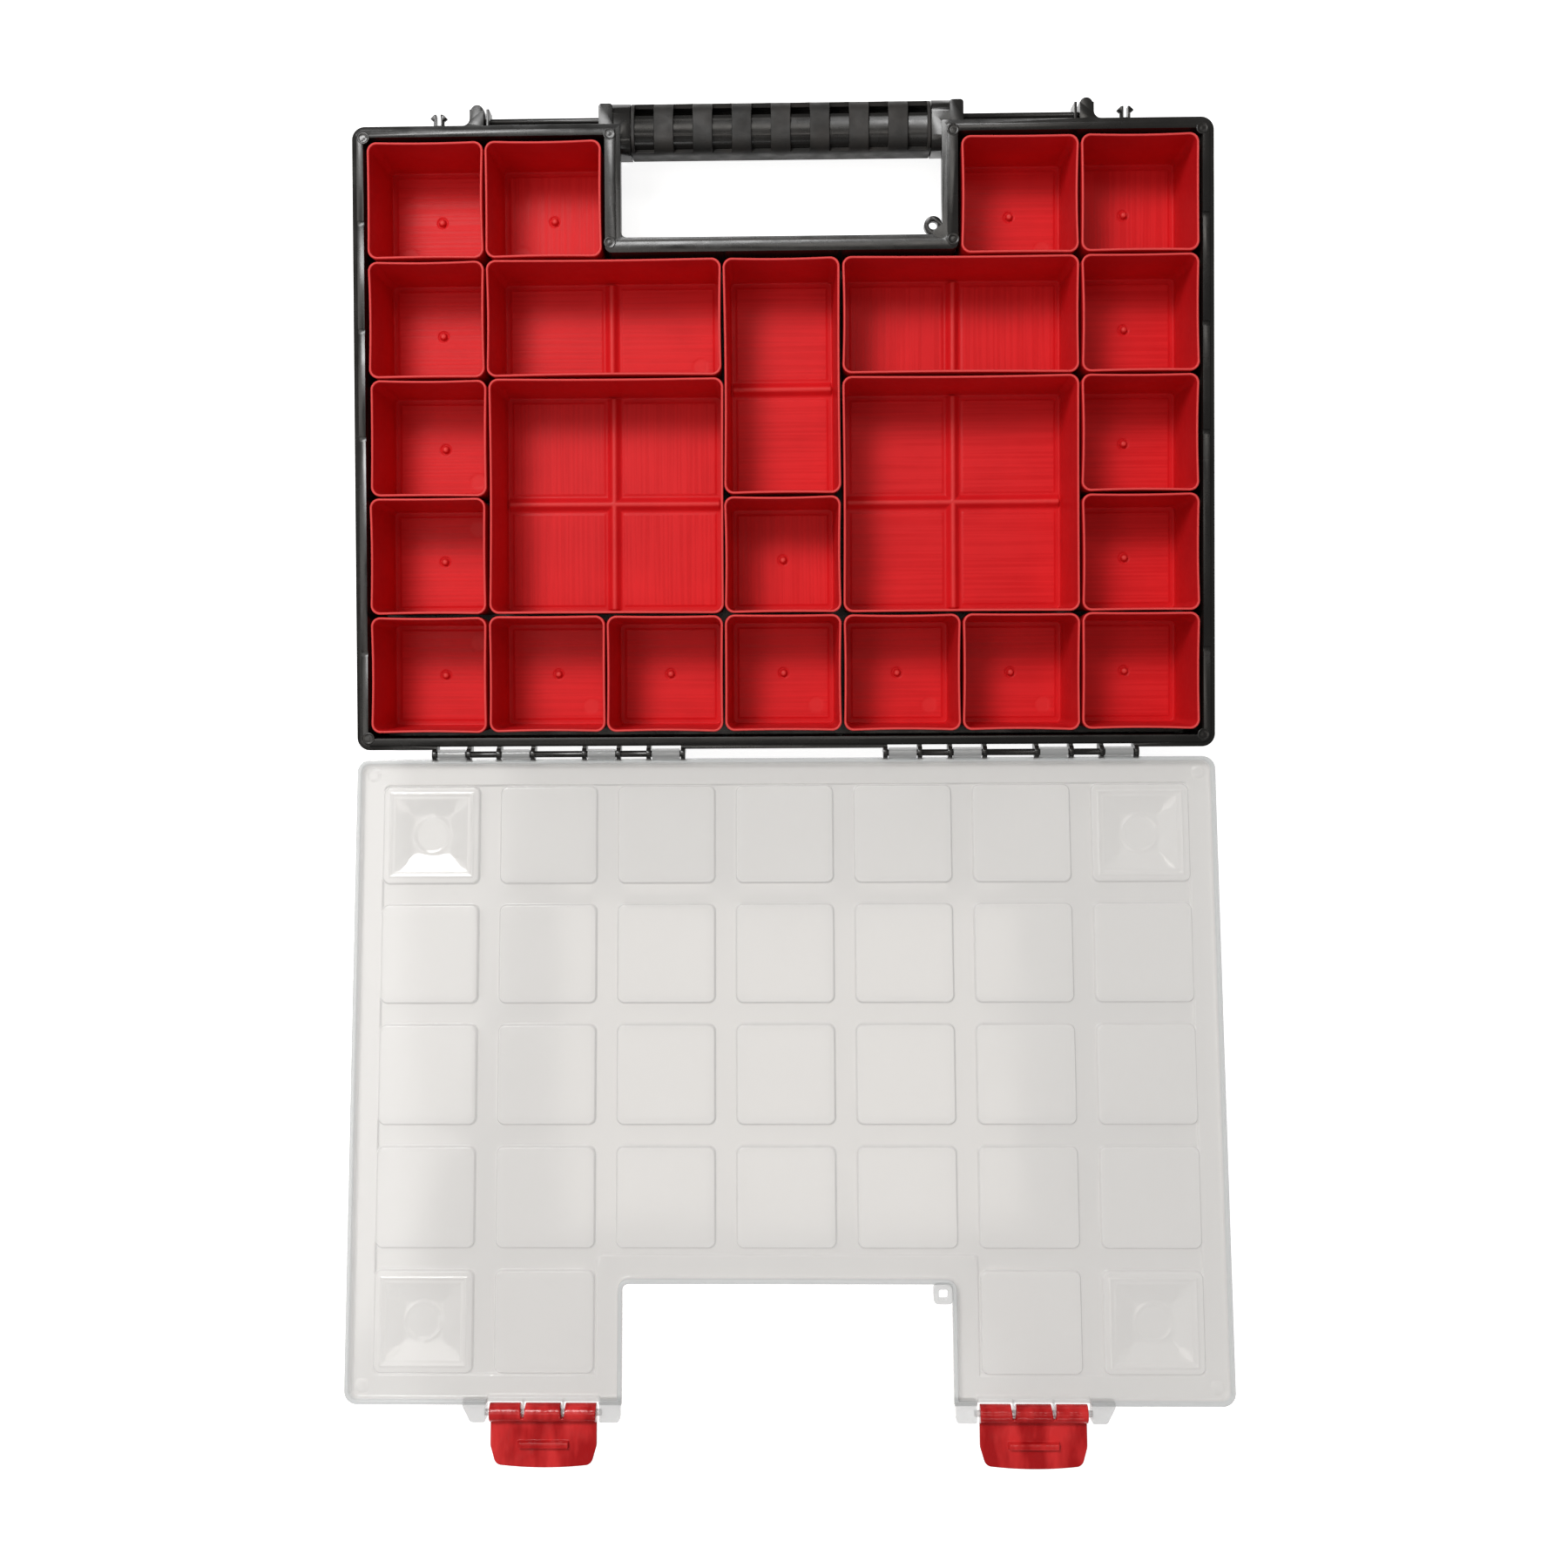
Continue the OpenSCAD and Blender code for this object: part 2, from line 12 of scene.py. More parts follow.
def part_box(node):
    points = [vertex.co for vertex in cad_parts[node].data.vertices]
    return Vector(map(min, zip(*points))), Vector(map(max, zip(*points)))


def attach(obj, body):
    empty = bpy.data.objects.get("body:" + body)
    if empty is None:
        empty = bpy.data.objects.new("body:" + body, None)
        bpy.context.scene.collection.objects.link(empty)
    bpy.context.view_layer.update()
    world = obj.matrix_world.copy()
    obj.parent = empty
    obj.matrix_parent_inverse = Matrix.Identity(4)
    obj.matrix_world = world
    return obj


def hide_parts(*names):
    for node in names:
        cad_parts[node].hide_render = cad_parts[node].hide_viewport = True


MM = 0.001
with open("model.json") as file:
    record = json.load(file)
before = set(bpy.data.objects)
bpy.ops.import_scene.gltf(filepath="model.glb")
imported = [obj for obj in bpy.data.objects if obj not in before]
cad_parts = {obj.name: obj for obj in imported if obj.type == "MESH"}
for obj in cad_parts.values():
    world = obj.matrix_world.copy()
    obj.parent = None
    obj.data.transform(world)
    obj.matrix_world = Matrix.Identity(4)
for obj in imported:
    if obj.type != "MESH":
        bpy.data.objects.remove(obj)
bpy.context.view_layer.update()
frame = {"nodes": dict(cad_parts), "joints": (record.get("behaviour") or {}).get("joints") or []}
rng = random.Random(7)


# ---------------------------------------------------------------- materials


class Shader:
    """A node material under construction: a Principled shader and short ways to add nodes to it."""

    def __init__(self, name, colour, roughness, **sockets):
        self.material = bpy.data.materials.new(name)
        self.material.use_nodes = True
        self.tree = self.material.node_tree
        self.principled = self.tree.nodes["Principled BSDF"]
        self.principled.inputs["Base Color"].default_value = (*colour, 1)
        self.principled.inputs["Roughness"].default_value = roughness
        for socket, value in sockets.items():
            self.principled.inputs[socket.replace("_", " ")].default_value = value
        self.coords = self.add("ShaderNodeTexCoord").outputs["Object"]

    def add(self, kind, links=(), **settings):
        node = self.tree.nodes.new(kind)
        for key, value in settings.items():
            setattr(node, key, value)
        for socket, source in dict(links).items():
            if hasattr(source, "is_output"):
                self.tree.links.new(source, node.inputs[socket])
            else:
                node.inputs[socket].default_value = source
        return node

    def plug(self, socket, source):
        self.tree.links.new(source, self.principled.inputs[socket])

    def noise(self, scale, detail=3.0, stretch=(1, 1, 1)):
        """Noise in the object's own space; scale is features per metre."""
        place = self.add("ShaderNodeMapping", {"Vector": self.coords, "Scale": stretch})
        made = self.add("ShaderNodeTexNoise", {"Vector": place.outputs[0], "Scale": scale, "Detail": detail})
        return made.outputs["Fac"]

    def attribute(self, name):
        return self.add("ShaderNodeAttribute", attribute_name=name).outputs["Fac"]

    def math(self, operation, a, b=0.5):
        return self.add("ShaderNodeMath", {0: a, 1: b}, operation=operation).outputs[0]

    def span(self, source, low, high, to_low=0.0, to_high=1.0):
        """source mapped from low..high to to_low..to_high, and held there."""
        links = {"Value": source, "From Min": low, "From Max": high, "To Min": to_low, "To Max": to_high}
        return self.add("ShaderNodeMapRange", links).outputs["Result"]

    def blend(self, factor, a, b):
        """Two colours mixed; each is a colour or a socket."""
        a, b = (x if hasattr(x, "is_output") else (*x, 1) for x in (a, b))
        mix = self.add("ShaderNodeMix", data_type="RGBA")
        for index, source in ((0, factor), (6, a), (7, b)):
            if hasattr(source, "is_output"):
                self.tree.links.new(source, mix.inputs[index])
            else:
                mix.inputs[index].default_value = source
        return mix.outputs[2]

    def bump(self, height, strength, distance):
        links = {"Height": height, "Strength": strength, "Distance": distance}
        made = self.add("ShaderNodeBump", links)
        if getattr(self, "last_bump", None):
            self.tree.links.new(self.last_bump, made.inputs["Normal"])
        self.last_bump = made.outputs["Normal"]
        self.plug("Normal", self.last_bump)


def red_bin_plastic(name, lines_along_x):
    """Satin red polypropylene: faint cutter lines on the floor, a pale round ejector mark, and a painted
    highlight along the crest of the bin's lip, the floor ridges and the gate's dome.
    """
    s = Shader(name, (0.69, 0.014, 0.018), 0.4, Specular_IOR_Level=0.12)
    lean = (2.2, 150, 30) if lines_along_x else (150, 2.2, 30)
    grain = s.noise(5.2, 2.0, lean)
    lines = s.math("MULTIPLY", s.span(grain, 0.42, 0.58), s.attribute("floor"))
    cloud = s.span(s.noise(38, 4.0), 0.3, 0.7)
    body = s.blend(cloud, (0.64, 0.012, 0.016), (0.72, 0.016, 0.020))
    lined = s.blend(s.math("MULTIPLY", lines, 0.3), body, (0.86, 0.03, 0.035))
    marked = s.blend(s.math("MULTIPLY", s.attribute("mark"), 0.22), lined, (0.85, 0.07, 0.07))
    # painted highlight: paler red along the lip's crest, the floor ridges' crests and the gate's dome
    s.plug("Base Color", s.blend(s.math("MULTIPLY", s.attribute("rim"), 0.8), marked, (0.86, 0.10, 0.095)))
    s.plug("Roughness", s.span(s.math("ADD", lines, s.noise(300)), 0.3, 1.6, 0.34, 0.48))
    s.bump(lines, 0.18, 0.0001)
    s.bump(s.noise(2600, 2.0), 0.05, 0.0001)
    return s.material


def black_tray_plastic():
    """Black polypropylene with a satin skin, faint flow clouds and dust-fine grain."""
    s = Shader("tray_black", (0.015, 0.0145, 0.014), 0.25)
    cloud = s.span(s.noise(26, 5.0), 0.3, 0.72)
    s.plug("Base Color", s.blend(cloud, (0.010, 0.0095, 0.009), (0.020, 0.019, 0.0175)))
    s.plug("Roughness", s.span(s.noise(70, 5.0), 0.3, 0.7, 0.18, 0.32))
    s.bump(s.noise(60, 2.0), 0.22, 0.0006)
    s.bump(s.noise(2400, 2.0), 0.08, 0.0001)
    return s.material


def matt_grip_plastic():
    """Matt soft black with a fine spark-eroded grain, a little brown where hands have rubbed it."""
    s = Shader("grip_black", (0.022, 0.019, 0.017), 0.62)
    worn = s.span(s.noise(60, 4.0), 0.35, 0.7)
    s.plug("Base Color", s.blend(worn, (0.011, 0.0108, 0.010), (0.027, 0.023, 0.020)))
    s.plug("Roughness", s.span(s.noise(160, 4.0), 0.3, 0.7, 0.5, 0.68))
    s.bump(s.noise(1900, 3.0), 0.28, 0.00018)
    return s.material


def clear_lid_plastic(name, tone, alpha):
    """Natural polypropylene: milky and see-through, warm grey, with a soft gloss and slow sink waves; painted
    shade darkens the strips between the pads a little.
    """
    s = Shader(name, tone, 0.08, Alpha=alpha, Specular_IOR_Level=0.8)
    cloud = s.span(s.noise(9, 2.0), 0.25, 0.75)
    pale = s.blend(cloud, tone, [min(1, 1.035 * c) for c in tone])
    # painted shade: the strips between the pads a little darker
    shaded_strips = s.blend(s.attribute("strip"), pale, [0.97 * c for c in tone])
    s.plug("Base Color", s.blend(s.attribute("edge"), shaded_strips, (0.54, 0.57, 0.575)))
    s.plug("Roughness", s.span(s.noise(14, 2.0), 0.25, 0.75, 0.05, 0.11))
    s.bump(s.noise(11, 1.0), 0.2, 0.001)
    s.bump(s.noise(1700, 2.0), 0.04, 0.0001)
    return s.material


def red_latch_plastic():
    """Glossy red polypropylene with flame-shaped streaks of painted highlight and shade in its colour."""
    s = Shader("latch_red", (0.66, 0.012, 0.016), 0.2, Specular_IOR_Level=0.4)
    # painted highlight and shade: pale and dark flame-shaped streaks stand in for reflections
    painted_streaks = s.span(s.noise(95, 3.0, (1, 0.3, 1)), 0.4, 0.62)
    s.plug("Base Color", s.blend(painted_streaks, (0.46, 0.008, 0.010), (0.78, 0.035, 0.036)))
    s.plug("Roughness", s.span(s.noise(200, 4.0), 0.3, 0.7, 0.14, 0.26))
    s.bump(s.noise(150, 2.0, (1, 0.45, 1)), 0.7, 0.0008)
    return s.material


TRAY = black_tray_plastic()
GRIP = matt_grip_plastic()
LID = clear_lid_plastic("lid_clear", (0.77, 0.75, 0.727), 0.52)
# painted shade: the clips, latch ears, rods, ribs and lock eye get a darker, more see-through copy of the
# lid's plastic
LID_TRIM = clear_lid_plastic("lid_clear_shaded", (0.62, 0.63, 0.63), 0.42)
LATCH = red_latch_plastic()
BINS = {along: red_bin_plastic(f"bin_red_{'x' if along else 'y'}", along) for along in (True, False)}


def finish_with(obj, material):
    obj.data.materials.clear()
    obj.data.materials.append(material)
    for face in obj.data.polygons:
        face.use_smooth = True


# ---------------------------------------------------------------- CAD nodes that keep their shape


def add_bevel(obj, width, segments=2, angle=32):
    bevel = obj.modifiers.new("edges", "BEVEL")
    bevel.width = width
    bevel.segments = segments
    bevel.limit_method = "ANGLE"
    bevel.angle_limit = math.radians(angle)
    bevel.harden_normals = True
    bevel.miter_outer = "MITER_ARC"


def soften(node, material, width):
    """A CAD node with its flat faces merged, its edges rounded as a mould leaves them, and its finish."""
    obj = frame["nodes"][node]
    finish_with(obj, material)
    weld = obj.modifiers.new("weld", "WELD")
    weld.merge_threshold = 2e-6
    flat = obj.modifiers.new("flat", "DECIMATE")
    flat.decimate_type = "DISSOLVE"
    flat.angle_limit = math.radians(1)
    add_bevel(obj, width)


soften("tray", TRAY, 0.45 * MM)


# ---------------------------------------------------------------- ways to make pieces


def smooth(x, low, high):
    t = min(max((x - low) / (high - low), 0.0), 1.0)
    return t * t * (3 - 2 * t)


def new_piece(name, points, faces, material, body, slot, nodes=(), place=None, **values):
    """A mesh piece with outward faces that rides on body and stands in for nodes.

    Each of values is a function of a point, which the material reads as an attribute.
    """
    mesh = bmesh.new()
    layers = {key: mesh.verts.layers.float.new(key) for key in sorted(values)}
    corners = [mesh.verts.new(p) for p in points]
    for key, layer in layers.items():
        for corner in corners:
            corner[layer] = values[key](*corner.co)
    for face in faces:
        mesh.faces.new([corners[k] for k in face])
    if place:
        mesh.transform(place)
    bmesh.ops.recalc_face_normals(mesh, faces=mesh.faces)
    data = bpy.data.meshes.new(name)
    mesh.to_mesh(data)
    mesh.free()
    obj = bpy.data.objects.new(name, data)
    bpy.context.scene.collection.objects.link(obj)
    finish_with(obj, material)
    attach(obj, body)
    if nodes:
        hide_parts(*nodes)
    return obj


def spread(marks, coarse, nearest=0.08 * MM):
    """Sorted places from (place, offsets) marks, with the gaps wider than coarse filled evenly."""
    kept = []
    for p in sorted(place + o * MM for place, offsets in marks for o in offsets):
        if not kept or p - kept[-1] > nearest:
            kept.append(p)
    lines = []
    for a, b in zip(kept, kept[1:]):
        steps = max(1, math.ceil((b - a) / coarse - 1e-6))
        lines += [a + (b - a) * i / steps for i in range(steps)]
    return lines + [kept[-1]]


def grid_solid(us, vs, keep, point):
    """Points and faces of a closed shell over the kept cells of a grid.

    point(level, u, v) is a place on its near side for level 0 and on its far side for level 1.
    """
    cells = {
        (i, j)
        for i in range(len(us) - 1)
        for j in range(len(vs) - 1)
        if keep((us[i] + us[i + 1]) / 2, (vs[j] + vs[j + 1]) / 2)
    }
    index, points, faces = {}, [], []

    def at(level, i, j):
        key = (level, i, j)
        if key not in index:
            place = point(level, us[i], vs[j])
            if level and math.dist(place, points[at(0, i, j)]) < 1e-7:
                return at(0, i, j)
            index[key] = len(points)
            points.append(place)
        return index[key]

    def add(*corners):
        face = [k for n, k in enumerate(corners) if k != corners[n - 1]]
        if len(set(face)) > 2:
            faces.append(face)

    for i, j in sorted(cells):
        around = [(i, j), (i + 1, j), (i + 1, j + 1), (i, j + 1)]
        add(*(at(0, *c) for c in reversed(around)))
        add(*(at(1, *c) for c in around))
        beside = [(i, j - 1), (i + 1, j), (i, j + 1), (i - 1, j)]
        for n, other in enumerate(beside):
            if other not in cells:
                a, b = around[n], around[(n + 1) % 4]
                add(at(0, *a), at(0, *b), at(1, *b), at(1, *a))
    return points, faces


def prism(outline, start, end, axis="x"):
    """Points and faces of a plane outline drawn out along an axis."""
    def lay(a, b, t):
        return (t, a, b) if axis == "x" else (a, b, t)

    n = len(outline)
    points = [lay(*p, t) for t in (start, end) for p in outline]
    faces = [list(range(n)), list(range(2 * n - 1, n - 1, -1))]
    faces += [[k, (k + 1) % n, n + (k + 1) % n, n + k] for k in range(n)]
    return points, faces


def arc(centre, radius, start, end, steps):
    """Points on an arc, angles in degrees."""
    turns = [math.radians(start + (end - start) * i / steps) for i in range(steps + 1)]
    return [(centre[0] + radius * math.cos(t), centre[1] + radius * math.sin(t)) for t in turns]


def together(*solids):
    points, faces = [], []
    for some_points, some_faces in solids:
        faces += [[k + len(points) for k in face] for face in some_faces]
        points += some_points
    return points, faces


def mirrored(solid):
    return [(-x, y, z) for x, y, z in solid[0]], [face[::-1] for face in solid[1]]


def rounded_edge(d, radius):
    """How far a rounded edge falls away at distance d from the outline."""
    return radius - math.sqrt(max(0.0, radius**2 - (radius - d) ** 2)) if d < radius else 0.0


def square_to_round(x, y, centre_x, centre_y, radius, reach=1.0):
    """Carries nested squares around a centre into circles; beyond reach the pull fades out."""
    a, b = (x - centre_x) / radius, (y - centre_y) / radius
    m, n = max(abs(a), abs(b)), math.hypot(a, b)
    if n == 0:
        return x, y
    pull = 1 + (m / n - 1) * (1 - smooth(m, reach, 2.2 * reach))
    return centre_x + a * pull * radius, centre_y + b * pull * radius


# ---------------------------------------------------------------- sizes shared with the CAD frame

CELL = 55 * MM
COLUMNS, ROWS = 7, 5
RIM_X, RIM_Y, RIM_R = 199.55 * MM, 145.15 * MM, 6 * MM
RIM_Z = 42 * MM
HOLE_X, HOLE_Y, HOLE_R = 74.5 * MM, 92.55 * MM, 3 * MM
LID_EAR_Y = RIM_Y + 7.5 * MM
BAY_RECESS = 1 * MM
BAY_LIFT, FOOT_GAP = 1.75 * MM, 0.15 * MM
HINGE_BAYS = tuple((RIM_X - (36.5 + out + 16) * MM, RIM_X - (36.5 + out) * MM) for out in (100, 70, 30, 0))
HINGE_EAR_R, HINGE_EAR_T = 3.4 * MM, 2.8 * MM
PAD = 45 * MM
SKIRT = 2 * MM
LATCH_X, LATCH_BAY = 110 * MM, 25.5 * MM
ROD_R = 1.5 * MM
JOINTS = {joint["name"]: joint for joint in frame["joints"]}
HINGE = Vector(JOINTS["lid_hinge"]["pos_m"])
OPEN = math.radians(-JOINTS["lid_hinge"]["range_deg"][0])
AT_REST = Matrix.Translation(HINGE) @ Matrix.Rotation(OPEN, 4, "X") @ Matrix.Translation(-HINGE)
LATCH_Y, LATCH_Z = (AT_REST.inverted() @ Vector(JOINTS["latch_right_hinge"]["pos_m"])).yz


def cell_middle(index, count):
    return (index - (count + 1) / 2) * CELL


# ---------------------------------------------------------------- lid


class Lid:
    """The lid's shell in its closed place: Z up, the inside face below."""

    BORDER = 12 * MM
    BORDER_Z, PANEL_Z, PAD_Z = 46.7 * MM, 47.7 * MM, 45.7 * MM
    PANEL_CORNER, PAD_CORNER = 2.5 * MM, 3.2 * MM
    PAD_LEAN = 4  # slope of a pad, in mm per metre
    WALL = 1.8 * MM
    SEAT, DISC = 17 * MM, 8.4 * MM
    SEAT_DEPTH = 2 * MM
    MARK, MARK_INSET = 3 * MM, 7 * MM
    TOP_EDGE, FOOT_EDGE, SKIRT_FILLET = 1.5 * MM, 0.4 * MM, 0.9 * MM

    def __init__(self):
        self.pads = {
            (r, c): (
                cell_middle(c, COLUMNS),
                cell_middle(r, ROWS),
                rng.uniform(-self.PAD_LEAN, self.PAD_LEAN) * MM,
                rng.uniform(-self.PAD_LEAN, self.PAD_LEAN) * MM,
            )
            for r in range(1, ROWS + 1)
            for c in range(1, COLUMNS + 1)
            if not (r == ROWS and 2 < c < 6)
        }
        self.seats = [(r, c) for r in (1, ROWS) for c in (1, COLUMNS)]
        mark_x, mark_y = RIM_X - self.MARK_INSET, RIM_Y - self.MARK_INSET
        self.marks = [(sx * mark_x, sy * mark_y) for sx in (-1, 1) for sy in (-1, 1)]

    def edge_distance(self, x, y):
        """Distance from the outline, measured on the grid before its corners are rounded."""
        notch = abs(x) - HOLE_X if y >= HOLE_Y else max(HOLE_Y - y, abs(x) - HOLE_X)
        return min(RIM_X - abs(x), RIM_Y - abs(y), notch)

    def in_bay(self, x):
        """1 in the two bays of the front edge that hold the latches."""
        return 1 - smooth(abs(abs(x) - LATCH_X), LATCH_BAY - 0.4 * MM, LATCH_BAY)

    def warp(self, x, y):
        y -= BAY_RECESS * self.in_bay(x) * smooth(y, RIM_Y - 9 * MM, RIM_Y - 3 * MM)
        for sx in (-1, 1):
            cx = sx * (RIM_X - RIM_R)
            for sy in (-1, 1):
                cy = sy * (RIM_Y - RIM_R)
                if (x - cx) * sx > 0 and (y - cy) * sy > 0:
                    return square_to_round(x, y, cx, cy, RIM_R)
            cx, cy = sx * (HOLE_X - HOLE_R), HOLE_Y + HOLE_R
            if 0 < (x - cx) * sx < 3 * HOLE_R and 0 < cy - y < 3 * HOLE_R:
                return square_to_round(x, y, cx, cy, HOLE_R, 1.6)
        return x, y

    def panel(self, x, y):
        """1 on the raised panel, 0 on the stepped border round it."""

        def inside(half_x, half_y, at_x, at_y, radius):
            a, b = abs(at_x) - half_x + radius, abs(at_y) - half_y + radius
            return radius - math.hypot(max(a, 0), max(b, 0)) - min(max(a, b), 0)

        r = self.PANEL_CORNER
        outer = inside(RIM_X - self.BORDER, RIM_Y - self.BORDER, x, y, r)
        cut = inside(HOLE_X + self.BORDER, RIM_Y, x, y - (HOLE_Y - self.BORDER + RIM_Y), r)
        return smooth(min(outer, -cut), -0.45 * MM, 0.45 * MM)

    def over_pad(self, x, y):
        """None off the pads; else (u, v from its middle, depth inside its edge, rise, has a seat)."""
        c = round(x / CELL + (COLUMNS + 1) / 2)
        r = round(y / CELL + (ROWS + 1) / 2)
        if (r, c) not in self.pads:
            return None
        px, py, lean_x, lean_y = self.pads[r, c]
        u, v = x - px, y - py
        a, b = abs(u) - PAD / 2 + self.PAD_CORNER, abs(v) - PAD / 2 + self.PAD_CORNER
        depth = self.PAD_CORNER - math.hypot(max(a, 0), max(b, 0)) - min(max(a, b), 0)
        return u, v, depth, lean_x * u + lean_y * v, (r, c) in self.seats

    def seat(self, u, v, grow):
        """Depth of the square funnel in a corner pad, with a round flat at its end."""
        m = max(abs(u), abs(v)) - grow
        slope = min(max((self.SEAT - m) / (self.SEAT - self.DISC), 0), 1)
        ring = 0.3 * MM * (1 - smooth(abs(math.hypot(u, v) - self.DISC - grow), 0.2 * MM, 0.8 * MM))
        return self.SEAT_DEPTH * slope - ring * (slope > 0)

    def low(self, x, y):
        d = self.edge_distance(x, y)
        z = self.BORDER_Z + (self.PANEL_Z - self.BORDER_Z) * self.panel(x, y)
        pad = self.over_pad(x, y)
        if pad:
            u, v, depth, lean, seat = pad
            share = smooth(depth, -0.5 * MM, 0.5 * MM)
            z += (self.PAD_Z + lean - z) * share
            if seat:
                z += self.seat(u, v, 0) * share
                line = abs(max(abs(u), abs(v)) - 19.2 * MM)
                z -= 0.25 * MM * (1 - smooth(line, 0.15 * MM, 0.7 * MM)) * share
        for mx, my in self.marks:
            z -= 0.3 * MM * (1 - smooth(math.hypot(x - mx, y - my), self.MARK - 0.4 * MM, self.MARK))
        skirt = 1 - smooth(d, SKIRT - 0.04 * MM, SKIRT + 0.1 * MM)
        fillet = rounded_edge(max(d - SKIRT, 0), self.SKIRT_FILLET)
        foot = RIM_Z + FOOT_GAP + (rounded_edge(min(d, SKIRT - d), self.FOOT_EDGE) if d < SKIRT else 0)
        if y < 0 and d < SKIRT:
            foot += self.ear_notch(x, y)
        if y > RIM_Y - 3 * MM:
            foot += BAY_LIFT * self.in_bay(x)
        return (z - fillet) * (1 - skirt) + foot * skirt

    def ear_notch(self, x, y):
        """How far the skirt is cut away round the tray's hinge ears."""
        off = min(abs(abs(x) - ear) for bay in HINGE_BAYS for ear in bay)
        reach = math.sqrt(max(0.0, HINGE_EAR_R**2 - (y - HINGE.y) ** 2))
        return reach * (1 - smooth(off, HINGE_EAR_T / 2 - 0.1 * MM, HINGE_EAR_T / 2 + 0.1 * MM))

    def high(self, x, y):
        d = self.edge_distance(x, y)
        z = self.BORDER_Z + self.WALL + (self.PANEL_Z - self.BORDER_Z) * self.panel(x, y)
        pad = self.over_pad(x, y)
        if pad:
            u, v, depth, lean, seat = pad
            share = smooth(depth - self.WALL, -0.5 * MM, 0.5 * MM)
            z += (self.PAD_Z + self.WALL + lean - z) * share
            if seat:
                z += self.seat(u, v, self.WALL) * share
                z -= 0.6 * MM * (1 - smooth(math.hypot(u, v), self.DISC - 0.3 * MM, self.DISC + 0.1 * MM))
        return z - rounded_edge(d, self.TOP_EDGE)

    def point(self, level, x, y):
        z = self.high(x, y) if level else self.low(x, y)
        return (*self.warp(x, y), z)

    def lines(self, half, count, seats, hole, extra=()):
        """Grid lines of one axis, close together at edges, pads, corner seats and the cut-out."""
        inward = (0, 0.1, 0.3, 0.6, 1.0, 1.5, 1.7, 1.9, 1.97, 2.1, 2.3, 2.6, 2.95, 3.6, 4.4, 5.2, 6, 7.2)
        step = (-0.7, -0.45, -0.25, 0, 0.25, 0.45, 0.7)
        marks = []
        for s in (-1, 1):
            marks.append((s * half, [-s * o for o in inward]))
            marks.append((s * (half - self.BORDER), step))
            marks.append((s * (half - self.MARK_INSET), (-3.3, -2.9, -2.5, -1.2, 0, 1.2, 2.5, 2.9, 3.3)))
        for k in range(1, count + 1):
            for s in (-1, 1):
                edge = cell_middle(k, count) + s * PAD / 2
                marks.append((edge, step))
                marks.append((edge, [-s * o for o in (1.2, 1.6, 1.8, 2.1, 2.5, 3.2)]))
        for at in seats:
            marks.append((at, [o * 0.8 for o in range(-14, 15)]))
            for s in (-1, 1):
                marks.append((at, [s * o for o in (16.6, 17.0, 17.4, 18.5, 18.9, 19.2, 19.6, 20)]))
        for at, s in hole:
            marks.append((at, [s * o for o in inward[:15]]))
            marks.append((at, [-s * o for o in (1, 2, 3)]))
            marks.append((at + s * self.BORDER, step))
        return spread(marks + list(extra), 5 * MM)

    def build(self):
        far = cell_middle(COLUMNS, COLUMNS), cell_middle(ROWS, ROWS)
        edges = [s * (LATCH_X + t * LATCH_BAY) for s in (-1, 1) for t in (-1, 1)]
        extra = [(edge, (-0.4, -0.2, 0, 0.2, 0.4)) for edge in edges]
        for ear in {ear for bay in HINGE_BAYS for ear in bay}:
            extra += [(s * ear, (-1.55, -1.45, -1.35, -1.25, 1.25, 1.35, 1.45, 1.55)) for s in (-1, 1)]
        xs = self.lines(RIM_X, COLUMNS, (-far[0], far[0]), ((-HOLE_X, -1), (HOLE_X, 1)), extra)
        ys = self.lines(RIM_Y, ROWS, (-far[1], far[1]), ((HOLE_Y, -1),))
        shell = grid_solid(xs, ys, lambda x, y: not (abs(x) < HOLE_X and y > HOLE_Y), self.point)
        tints = {"edge": self.edge_tint, "strip": self.strip_shade_mask}
        new_piece("lid_shell", *shell, LID, "lid", "lid_clear", ["lid"], AT_REST, **tints)
        trim = new_piece("lid_trim", *together(*self.fittings()), LID_TRIM, "lid", "lid_clear", [], AT_REST)
        add_bevel(trim, 0.3 * MM)

    def edge_tint(self, x, y, z):
        """1 on the skirt's foot, where the light leaks out of the plastic."""
        return 1 - smooth(z, RIM_Z + 0.3 * MM, RIM_Z + 2.5 * MM)

    def strip_shade_mask(self, x, y, z):
        """1 on the strips between the pads, which lie back from the pads on the inside face: painted shade
        makes them a little darker.
        """
        pad = self.over_pad(x, y)
        return 1.0 if pad is None else 1 - smooth(pad[2], -0.4 * MM, 0.6 * MM)

